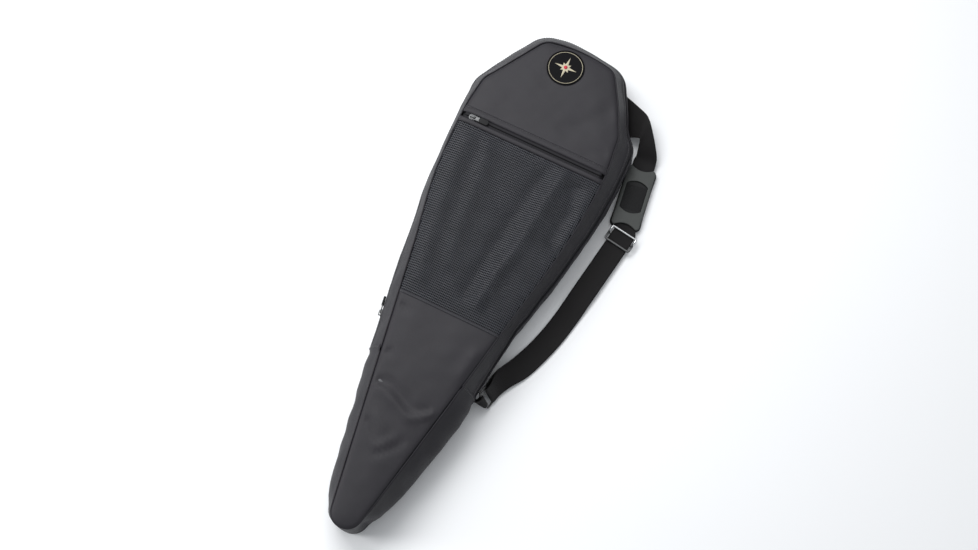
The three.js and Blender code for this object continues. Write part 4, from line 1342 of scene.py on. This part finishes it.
class CARRYCASE_OT_back(Operator):
    """Make the back panel the case lies on"""
    bl_idname = "carrycase.back"
    bl_label = "Back panel"

    def execute(self, context):
        flat, triangles = flat_triangles(-50, 950, BACK_SPREAD - 0.2, 9.0)
        d = np.clip(SEAM.distance(flat[:, 0], flat[:, 1]), 0, None)
        inside = np.abs(flat[:, 0]) < np.interp(flat[:, 1], *half_width_table())
        d = np.where(inside & (flat[:, 1] > 0) & (flat[:, 1] < PANEL_LENGTH), d, -d) + BACK_SPREAD
        d = np.maximum(d, 0)
        low = 0.05 + 2.6 * np.exp(-d / 1.6) + 0.5 * np.exp(-d / 6.0)
        flat = drawn_in(flat, BACK_SPREAD, 0.0)
        back = close_triangles("back_cloth", flat, triangles, low + 1.4, low, LOOKS["pack_cloth"])
        dress(back, "pack_cloth", BACK_BODY, "back_panel")
        return {"FINISHED"}


# ---- Padding and the inside ----
def even_faces(obj, size):
    even = obj.modifiers.new("Even faces", "REMESH")
    even.mode = "VOXEL"
    even.voxel_size = size
    finish_modifiers(obj)


def fill_out(obj, steps, cap, size):
    """Lets the cover of a padded piece swell by cloth simulation, no further than cap."""
    context = bpy.context
    for other in context.selected_objects:
        other.select_set(False)
    obj.select_set(True)
    context.view_layer.objects.active = obj
    even_faces(obj, size)
    rest = np.array([v.co for v in obj.data.vertices])
    cover = obj.modifiers.new("Cover", "CLOTH")
    cover.settings.quality = 4
    cover.settings.use_pressure = True
    cover.settings.uniform_pressure_force = 4.0
    cover.settings.effector_weights.gravity = 0.0
    cover.settings.tension_stiffness = 12
    cover.settings.bending_stiffness = 0.6
    cover.collision_settings.use_collision = False
    cover.point_cache.frame_start, cover.point_cache.frame_end = 1, steps
    for number in range(1, steps + 1):
        context.scene.frame_set(number)
    finish_modifiers(obj)
    context.scene.frame_set(1)
    moved = np.array([v.co for v in obj.data.vertices]) - rest
    far = np.linalg.norm(moved, axis=1, keepdims=True)
    placed = rest + moved * np.minimum(1.0, cap / np.maximum(far, 1e-9))
    obj.data.vertices.foreach_set("co", placed.astype(np.float32).ravel())
    return obj


def cloth_coords(obj):
    """Cloth coordinates from above, for a padded piece whose own were lost."""
    mesh = obj.data
    layer = mesh.uv_layers.get("Cloth") or mesh.uv_layers.new(name="Cloth")
    loops = np.empty(len(mesh.loops), np.int32)
    mesh.loops.foreach_get("vertex_index", loops)
    co = np.array([v.co for v in mesh.vertices])
    layer.data.foreach_set("uv", co[loops, :2].astype(np.float32).ravel())


def quilted(name, low, high, inset, bottom, top, face, seams, material, steps):
    """A foam panel under its cover, sewn through along straight seams."""
    flat, triangles = flat_triangles(low, high, -inset, 8.0)
    flat = drawn_in(flat, -inset, min(bottom, SEAM_Z - bottom) + 5)
    count = len(flat)
    pad = close_triangles(name, flat, triangles, np.full(count, top), np.full(count, bottom), material)
    fill_out(pad, steps, 0.0022, 0.0042)
    if not pad.data.materials:
        pad.data.materials.append(material)
    co = np.array([v.co for v in pad.data.vertices]) * 1000 + (0, REST_Y, 0)
    middle = (bottom + top) / 2
    groove = np.zeros(len(co))
    for kind, place in seams:
        gap = co[:, 0] - place if kind == "long" else co[:, 1] - place
        groove = np.maximum(groove, np.exp(-((gap / 3.2) ** 2)))
    shown = (co[:, 2] - middle) * face > 0
    co[:, 2] -= face * np.where(shown, groove * 2.4, 0.0)
    co[:, 2] = np.clip(co[:, 2], bottom - (1.0 if face > 0 else 3.0), top + (3.0 if face > 0 else 1.0))
    placed = (co - (0, REST_Y, 0)) / 1000
    pad.data.vertices.foreach_set("co", placed.astype(np.float32).ravel())
    cloth_coords(pad)
    smooth_all(pad.data)
    face_outwards(pad.data)
    return pad


class CARRYCASE_OT_padding(Operator):
    """Make the quilted foam of the back, the tail and the lid, and the seam bindings"""
    bl_idname = "carrycase.padding"
    bl_label = "Padding"

    def execute(self, context):
        steps = sizes().padding_steps
        cross = [("cross", y) for y in (110, 220, 330, 440, 550, 660, 770)]
        both = cross + [("long", 0)]
        look = LOOKS["foam_cover"]
        back = quilted("back_padding", -50, 950, 2.5, 2.6, 7.4, 1, both, look, steps)
        dress(back, "foam", BACK_BODY, "back_foam")
        tail = quilted("tail_padding", -50, FOLD_Y - 8, 5.5, 84.0, 88.6, -1, cross, look, steps)
        dress(tail, "foam", BACK_BODY, "tail_foam")
        lid = quilted("lid_padding", FOLD_Y + 8, 950, 5.0, 80.4, 84.8, -1, both, look, steps)
        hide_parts("lid_foam")
        bend_with_lid(lid)
        self.bindings()
        return {"FINISHED"}

    def bindings(self):
        loop = np.arange(0, SEAM.length - 2, 4.0)
        x, y, nx, ny = SEAM.at(loop)
        rows = [(8.6, 2.2), (8.2, 3.4), (10, 3.9), (13, 3.9), (15.6, 3.5), (16.2, 2.6), (15.4, 2.1)]
        tuck = 10.0 * (1 - full_share(y))
        grid = np.array([np.column_stack([x + nx * (o - tuck), y + ny * (o - tuck), np.full(len(x), z)])
                         for z, o in rows])
        back = shell("back_binding", grid, 0.5, LOOKS["lining"], loop=True)
        dress(back, "lining", BACK_BODY, "back_seam_binding")
        run = head_run(FOLD_Y + 6)
        x, y, nx, ny = SEAM.at(run)
        rows = [(79.2, 1.6), (79.5, 2.9), (77.5, 3.4), (74.5, 3.4), (72, 3.0), (71.4, 2.2), (72.2, 1.6)]
        grid = np.array([np.column_stack([x + nx * o, y + ny * o, np.full(len(x), z)]) for z, o in rows])
        lid = shell("lid_binding", grid, 0.5, LOOKS["lining"])
        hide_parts("lid_seam_binding")
        bend_with_lid(lid)


# ---- Shoulder strap ----
STRAP_SHIFT = -2.0
PAD = (179.6, 695.0, math.radians(7.7))
ADJUSTER = (190.0, 620.0, math.radians(-8.5))
STRAP_Z = 7.6
LAID_Z = 3.2
UNDER_Z = 1.0
WEB_THICK = 1.4
RING_FAR = np.array((109.5, 291.0, 20.5))
RING_BAR = np.array((0.45, -0.22, -0.866)) / math.sqrt(0.45 ** 2 + 0.22 ** 2 + 0.866 ** 2)
RING_PULL = np.array((0.18, 0.975, -0.154)) / math.sqrt(0.18 ** 2 + 0.975 ** 2 + 0.154 ** 2)
RING_OUT = np.cross(RING_BAR, RING_PULL)
RING_HEIGHT, RING_INSIDE, RING_WIRE = 15.0, 38.8, 1.6
RING_NEAR = RING_FAR - RING_PULL * RING_HEIGHT
OUTER_PLY = RING_WIRE + 1.7 + WEB_THICK / 2
INNER_PLY = -(RING_WIRE + 0.4 + WEB_THICK / 2)
STRAP_HEAD = [
    ((123.6, 781.4, 8), (86, 858, 8)),
    ((135, 787, 17), (117, 843, 21)),
    ((144.5, 789, 25), (138, 831.5, 31)),
    ((146.8, 788, 27), (143.2, 827.5, 33.5)),
    ((148.2, 784, 25.5), (150, 821, 33)),
    ((151.5, 771, 15), (176, 788, 24)),
    ((153, 764, 10), (187.5, 771, 13)),
]
FREE_STRETCH = [
    ((153.2, 502.8), (190.8, 497.2)),
    ((147.6, 465.2), (185, 458.8)),
    ((140, 428.4), (177, 419.6)),
    ((129.5, 393.1), (165.5, 380.9)),
    ((116.4, 359.8), (151, 344.2)),
]


def along_piece(piece, distance, z, width):
    """A station across the webbing at a distance along the pad or the adjuster."""
    x, y, turn = piece
    x, y = x - distance * math.sin(turn), y + distance * math.cos(turn)
    dx, dy = width / 2 * math.cos(turn), width / 2 * math.sin(turn)
    return (x - dx, y - dy, z), (x + dx, y + dy, z)


def beside_bar(centre, width, along, out):
    middle = centre + RING_PULL * along + RING_OUT * out
    return tuple(middle - RING_BAR * width / 2), tuple(middle + RING_BAR * width / 2)


def round_bar(centre, width, side, outer, inner, steps=6):
    radius, middle = (outer - inner) / 2, (outer + inner) / 2
    turns = [math.pi * k / steps for k in range(steps + 1)]
    return [beside_bar(centre, width, side * radius * math.sin(a), middle + radius * math.cos(a))
            for a in turns]


def curve_through(points, spacing):
    """Smooth centripetal curves through matching rows of points."""
    points = np.asarray(points, float)
    count = len(points)
    result = []
    for i in range(count - 1):
        p1, p2 = points[i], points[i + 1]
        p0 = points[i - 1] if i else 2 * p1 - p2
        p3 = points[i + 2] if i + 2 < count else 2 * p2 - p1
        steps = max(1, int(round(np.linalg.norm(p2[1] - p1[1]) / spacing)))
        for k in range(steps):
            rows = []
            for a, b, c, d in zip(p0, p1, p2, p3):
                t1 = max(1e-4, math.sqrt(np.linalg.norm(b - a)))
                t2 = t1 + max(1e-4, math.sqrt(np.linalg.norm(c - b)))
                t3 = t2 + max(1e-4, math.sqrt(np.linalg.norm(d - c)))
                t = t1 + (t2 - t1) * k / steps
                a1 = a * (t1 - t) / t1 + b * t / t1
                a2 = b * (t2 - t) / (t2 - t1) + c * (t - t1) / (t2 - t1)
                a3 = c * (t3 - t) / (t3 - t2) + d * (t - t2) / (t3 - t2)
                b1 = a1 * (t2 - t) / t2 + a2 * t / t2
                b2 = a2 * (t3 - t) / (t3 - t1) + a3 * (t - t1) / (t3 - t1)
                rows.append(b1 * (t2 - t) / (t2 - t1) + b2 * (t - t1) / (t2 - t1))
            result.append(rows)
    result.append(list(points[-1]))
    return np.array(result)


def ribbon(name, stations, thickness, material, across=8):
    """A strap through stations of two edges, with rounded selvages."""
    stations = np.asarray(stations, float)
    middle = stations.mean(axis=1)
    step = np.gradient(middle, axis=0)
    face = np.cross(stations[:, 1] - stations[:, 0], step)
    face /= np.linalg.norm(face, axis=1, keepdims=True)
    share = (1 - np.cos(np.linspace(0, math.pi, across + 1))) / 2
    side = []
    for s in share:
        edge = stations[:, 0] * (1 - s) + stations[:, 1] * s
        swell = thickness / 2 * (0.55 + 0.45 * min(1.0, 9 * s * (1 - s)))
        side.append((edge + face * swell, edge - face * swell))
    rings = [front for front, _ in side] + [back for _, back in reversed(side)]
    along = np.concatenate([[0], np.cumsum(np.linalg.norm(np.diff(middle, axis=0), axis=1))])
    width = np.linalg.norm(stations[0, 1] - stations[0, 0])
    v = np.concatenate([share, share[::-1]]) * width
    count, size = len(stations), len(rings)
    points = np.array(rings).transpose(1, 0, 2).reshape(-1, 3)
    coords = np.array([(along[i], v[k]) for i in range(count) for k in range(size)]) / 1000
    faces = []
    for i in range(count - 1):
        for k in range(size):
            m = (k + 1) % size
            faces.append((i * size + k, i * size + m, (i + 1) * size + m, (i + 1) * size + k))
    for start in (0, (count - 1) * size):
        for k in range(across):
            a, b = start + k, start + k + 1
            c, d = start + size - 2 - k, start + size - 1 - k
            faces.append((a, d, c, b) if start else (a, b, c, d))
    obj = add_object(name, points, faces, coords, material)
    return obj, float(along[-1])


def shifted(points):
    return np.asarray(points, float) + (STRAP_SHIFT, 0, 0)


class CARRYCASE_OT_strap(Operator):
    """Make the shoulder strap's webbing, its ring and the tab that holds it"""
    bl_idname = "carrycase.strap"
    bl_label = "Strap"

    def execute(self, context):
        width = sizes().webbing_width * 1000
        route = shifted(curve_through(self.stations(width), 7.0))
        strap, length = ribbon("strap_web", route, WEB_THICK, LOOKS["webbing"])
        dress(strap, "webbing", BACK_BODY, "strap_webbing")
        self.tab()
        self.ring()
        return {"FINISHED"}

    def stations(self, width):
        upper = [((*a, 7.5 if i == 4 else STRAP_Z - 1.2 if i == 0 else LAID_Z),
                  (*b, STRAP_Z - 1.2 if i == 0 else LAID_Z)) for i, (a, b) in enumerate(FREE_STRETCH)]
        lower = [((*a, 5.2 if i == 4 else UNDER_Z), (*b, UNDER_Z)) for i, (a, b) in enumerate(FREE_STRETCH)]
        return [
            *STRAP_HEAD,
            *[along_piece(PAD, d, STRAP_Z, width) for d in (66, 62, 58, 20, -20, -52)],
            *[along_piece(ADJUSTER, d, STRAP_Z, width) for d in (16, 10, -30, -70, -92, -98)],
            *upper,
            ((104.5, 328, 24), (131.5, 313, 6)),
            beside_bar(RING_FAR, width, 8, OUTER_PLY),
            *round_bar(RING_FAR, width, -1, OUTER_PLY, INNER_PLY),
            beside_bar(RING_FAR, width, 8, INNER_PLY),
            ((103, 328, 22), (129.5, 312.6, 3.2)),
            *reversed(lower),
            *[along_piece(ADJUSTER, d, UNDER_Z, width) for d in (-100, -70, -40, -14)],
        ]

    def tab(self):
        ply = RING_WIRE + 0.4 + WEB_THICK / 2
        route = [
            ((93.0, 266.0, 31), (84.0, 267.0, 9.5)),
            ((97.5, 268.5, 31), (90, 270, 9.5)),
            beside_bar(RING_NEAR, 25.0, -5, ply),
            *round_bar(RING_NEAR, 25.0, 1, ply, -ply),
            beside_bar(RING_NEAR, 25.0, -5, -ply),
            ((95, 271.5, 32), (87.5, 273, 10.5)),
            ((91.5, 270.0, 32), (82.5, 271.0, 10.5)),
        ]
        tab, _ = ribbon("ring_loop", shifted(curve_through(route, 4.0)), WEB_THICK, LOOKS["webbing"], 6)
        dress(tab, "webbing", BACK_BODY, "ring_tab")

    def ring(self):
        reach = RING_INSIDE / 2 + RING_WIRE
        corners = [RING_FAR - RING_BAR * reach, RING_FAR + RING_BAR * reach,
                   RING_NEAR + RING_BAR * reach, RING_NEAR - RING_BAR * reach]
        path = rounded_path(shifted(corners), 2.2)
        ring = swept("strap_d_ring", path, RING_WIRE, LOOKS["black_enamel"], 14)
        dress(ring, "black_steel", "strap_ring", "strap_ring")


def turned(piece, points):
    """Points drawn along +Y on the pad or the adjuster, put in their place."""
    x, y, turn = piece
    points = np.asarray(points, float).reshape(-1, 3)
    c, s = math.cos(turn), math.sin(turn)
    px = x + STRAP_SHIFT + points[:, 0] * c - points[:, 1] * s
    py = y + points[:, 0] * s + points[:, 1] * c
    return np.column_stack([px, py, points[:, 2]])


class CARRYCASE_OT_adjuster(Operator):
    """Make the slot adjuster and the strap's sewn end round its lower bar"""
    bl_idname = "carrycase.adjuster"
    bl_label = "Adjuster"

    def execute(self, context):
        bar, half_x, half_y = 1.9, 22.7, 12.5
        over = STRAP_Z + WEB_THICK / 2 + 0.2 + bar
        # The frame is one wire loop; its lower half takes the darker nickel as painted shade.
        halves = (("adjuster_frame", half_y, "nickel"), ("adjuster_low_frame", -half_y, "nickel_satin"))
        for name, end, look in halves:
            line = [(-half_x, 1.0, over), (-half_x, end, over), (half_x, end, over), (half_x, 1.0, over)]
            path = turned(ADJUSTER, rounded_path(line, 3.0, closed=False))
            wire = swept(name, path, bar, LOOKS[look], 14, False)
            if name == "adjuster_frame":
                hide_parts("strap_adjuster")
            dress(wire, "nickel", "adjuster")
        line = [(-21.8, 0.0, over - 1.0), (-21.8, 0.0, 4.3), (21.8, 0.0, 4.3), (21.8, 0.0, over - 1.0)]
        # The middle bar takes the darker nickel too: painted shade.
        low = swept("adjuster_low_bar", turned(ADJUSTER, rounded_path(line, 1.6, closed=False)), 1.1,
                    LOOKS["nickel_satin"], 10, False)
        dress(low, "nickel", "adjuster")
        half = sizes().webbing_width * 500
        turns = [(-12, 2.5), (-4, 2.5), (2.1, 2.5), (3.1, 3.1), (3.2, 4.3), (3.1, 5.5), (2.1, 6.1),
                 (-4, 6.1), (-12, 6.1)]
        route = [(turned(ADJUSTER, (-half, y, z))[0], turned(ADJUSTER, (half, y, z))[0]) for y, z in turns]
        end, _ = ribbon("strap_end_loop", curve_through(route, 2.5), 1.0, LOOKS["webbing"], 6)
        dress(end, "webbing", "adjuster", "strap_sewn_end")
        return {"FINISHED"}


class CARRYCASE_OT_shoulder_pad(Operator):
    """Make the shoulder pad: soft base, moulded shell and ribbed window"""
    bl_idname = "carrycase.shoulder_pad"
    bl_label = "Shoulder pad"

    def execute(self, context):
        self.base()
        self.cover()
        self.window()
        return {"FINISHED"}

    def slab(self, name, outline, hole, low, high, bevel, material, dome=0.0):
        """A moulded plate with rounded edges, and a hole if one is given."""
        loops = [outline] + ([hole] if hole else [])
        flat = [Vector(p) for loop in loops for p in loop]
        rings, start = [], 0
        for loop in loops:
            rings.append([(start + k, start + (k + 1) % len(loop)) for k in range(len(loop))])
            start += len(loop)
        xs = np.arange(-27, 27.1, 3.0)
        ys = np.arange(-54, 54.1, 3.0)
        extra = [Vector((x, y)) for x in xs for y in ys
                 if self.inside(outline, x, y, 1.0) and not (hole and self.inside(hole, x, y, -1.0))]
        found = delaunay_2d_cdt(flat + extra, sum(rings, []), [], 0, 1e-5)
        points = np.array([tuple(v) for v in found[0]])
        triangles = []
        for face in found[2]:
            cx, cy = points[list(face)].mean(axis=0)
            if self.inside(outline, cx, cy, 0) and not (hole and self.inside(hole, cx, cy, 0)):
                triangles.append(tuple(face))
        arch = dome * (1 - (points[:, 0] / 24.0) ** 2) - dome * 0.6 * (points[:, 1] / 54.0) ** 2
        top, bottom = np.full(len(points), high) + arch, np.full(len(points), low)
        obj = close_triangles(name, points, triangles, top, bottom, material)
        co = np.array([v.co for v in obj.data.vertices]) * 1000 + (0, REST_Y, 0)
        obj.data.vertices.foreach_set("co", metres(turned(PAD, co)).astype(np.float32).ravel())
        if bevel:
            edge = obj.modifiers.new("Rounded edges", "BEVEL")
            edge.width = bevel / 1000
            edge.segments = 3
            edge.limit_method = "ANGLE"
            edge.angle_limit = math.radians(50)
            finish_modifiers(obj)
            smooth_all(obj.data)
        return obj

    def inside(self, loop, x, y, margin):
        hit, count = False, len(loop)
        nearest = 1e9
        for i in range(count):
            (ax, ay), (bx, by) = loop[i], loop[(i + 1) % count]
            if (ay > y) != (by > y) and x < ax + (y - ay) * (bx - ax) / (by - ay):
                hit = not hit
            span = (bx - ax) ** 2 + (by - ay) ** 2
            t = min(1, max(0, ((x - ax) * (bx - ax) + (y - ay) * (by - ay)) / span)) if span else 0
            nearest = min(nearest, math.hypot(x - ax - t * (bx - ax), y - ay - t * (by - ay)))
        if margin >= 0:
            return hit and nearest >= margin
        return hit or nearest <= -margin

    def barrel(self, half_x, half_y, arch, count=12):
        up = [(-half_x + 2 * half_x * k / count) for k in range(count + 1)]
        curve = [arch * (1 - (x / half_x) ** 2) for x in up]
        low = [(x, -half_y - c) for x, c in zip(up, curve)]
        high = [(x, half_y + c) for x, c in zip(reversed(up), reversed(curve))]
        return low + high

    def outline(self, half_x, half_y, corner, dip=0.0):
        """A rounded rectangle whose short ends can dip inwards."""
        points = []
        in_x, in_y = half_x - corner, half_y - corner
        for cx, cy, start in ((in_x, in_y, 0), (-in_x, in_y, 90), (-in_x, -in_y, 180), (in_x, -in_y, 270)):
            for k in range(7):
                angle = math.radians(start + 15 * k)
                points.append((cx + corner * math.cos(angle), cy + corner * math.sin(angle)))
            if start in (0, 180) and dip:
                side = 1 if start == 0 else -1
                for k in range(1, 9):
                    x = side * (half_x - corner) * (1 - 2 * k / 9)
                    bend = dip * (1 - (x / (half_x - corner)) ** 2)
                    points.append((x, side * (half_y - bend)))
        return points

    def base(self):
        pad = self.slab("pad_cushion", self.outline(26.5, 56, 9), None, 0.6, 6.2, 0, LOOKS["rubber"])
        fill_out(pad, sizes().padding_steps, 0.0012, 0.0021)
        co = np.array([v.co for v in pad.data.vertices])
        co[:, 2] = np.clip(co[:, 2], 0.0001, 0.0066)
        pad.data.vertices.foreach_set("co", co.astype(np.float32).ravel())
        cloth_coords(pad)
        if not pad.data.materials:
            pad.data.materials.append(LOOKS["rubber"])
        smooth_all(pad.data)
        dress(pad, "pull_rubber", "shoulder_pad", "pad_base")

    def cover(self):
        hole = self.barrel(18.2, 22, 6.5)
        cover = self.slab("pad_cover", self.outline(24, 54, 6, 6.0), hole, 8.7, 12.0, 0.9,
                          LOOKS["pad_shell"], 1.2)
        dress(cover, "pad_shell", "shoulder_pad", "pad_shell")
        for side in (-1, 1):
            word = "left" if side < 0 else "right"
            corners = [(side * 21.2, -44), (side * 23.4, -44), (side * 23.4, 44), (side * 21.2, 44)]
            rail = self.slab(f"pad_rail_{word}", corners[::side], None, 6.4, 9.4, 0.3, LOOKS["pad_shell"])
            dress(rail, "pad_shell", "shoulder_pad")

    def window(self):
        shape = self.barrel(17.8, 21.6, 6.2)
        panel = self.slab("pad_inset", shape, None, 8.75, 10.4, 0.3, LOOKS["rubber"], 0.4)
        dress(panel, "pull_rubber", "shoulder_pad", "pad_window")
        xs = np.linspace(-15.4, 15.4, 9)
        lines = []
        for y in np.arange(-22, 22.1, 2.6):
            lines.append(turned(PAD, np.column_stack([xs, np.full(9, y), np.full(9, 10.85)])))
        ribs = bead_row("pad_inset_ribs", lines, [(0, 0, 1)] * len(lines), 1.6, (1.9, 1.2, 0.7),
                        LOOKS["rubber"])
        dress(ribs, "pull_rubber", "shoulder_pad")


# ---- The add-on ----
STEPS = ("stage", "front_cloth", "mesh_pocket", "pocket_zip", "badge", "gusset", "main_zip", "back",
         "padding", "strap", "adjuster", "shoulder_pad")


class CARRYCASE_PT_sidebar(Panel):
    """Lists the sizes, the colours and the pieces of the case"""
    bl_idname = "CARRYCASE_PT_sidebar"
    bl_label = "Carry Case"
    bl_space_type = "VIEW_3D"
    bl_region_type = "UI"
    bl_category = "Carry Case"

    def draw(self, context):
        layout = self.layout
        for group in (context.scene.carry_case_sizes, context.scene.carry_case_colours):
            column = layout.box().column()
            for key in group.bl_rna.properties.keys():
                if key not in {"rna_type", "name"}:
                    column.prop(group, key)
        column = layout.column(align=True)
        for step in STEPS:
            column.operator(f"carrycase.{step}")


CLASSES = (
    CaseSizes, CaseColours, CARRYCASE_OT_stage, CARRYCASE_OT_front_cloth, CARRYCASE_OT_mesh_pocket,
    CARRYCASE_OT_pocket_zip, CARRYCASE_OT_badge, CARRYCASE_OT_gusset, CARRYCASE_OT_main_zip,
    CARRYCASE_OT_back, CARRYCASE_OT_padding, CARRYCASE_OT_strap, CARRYCASE_OT_adjuster,
    CARRYCASE_OT_shoulder_pad, CARRYCASE_PT_sidebar,
)


def register():
    for item in CLASSES:
        bpy.utils.register_class(item)
    bpy.types.Scene.carry_case_sizes = PointerProperty(type=CaseSizes)
    bpy.types.Scene.carry_case_colours = PointerProperty(type=CaseColours)


def unregister():
    del bpy.types.Scene.carry_case_colours
    del bpy.types.Scene.carry_case_sizes
    for item in reversed(CLASSES):
        bpy.utils.unregister_class(item)


def main():
    register()
    make_looks(bpy.context.scene.carry_case_colours)
    for step in STEPS:
        getattr(bpy.ops.carrycase, step)()


if __name__ == "__main__":
    main()
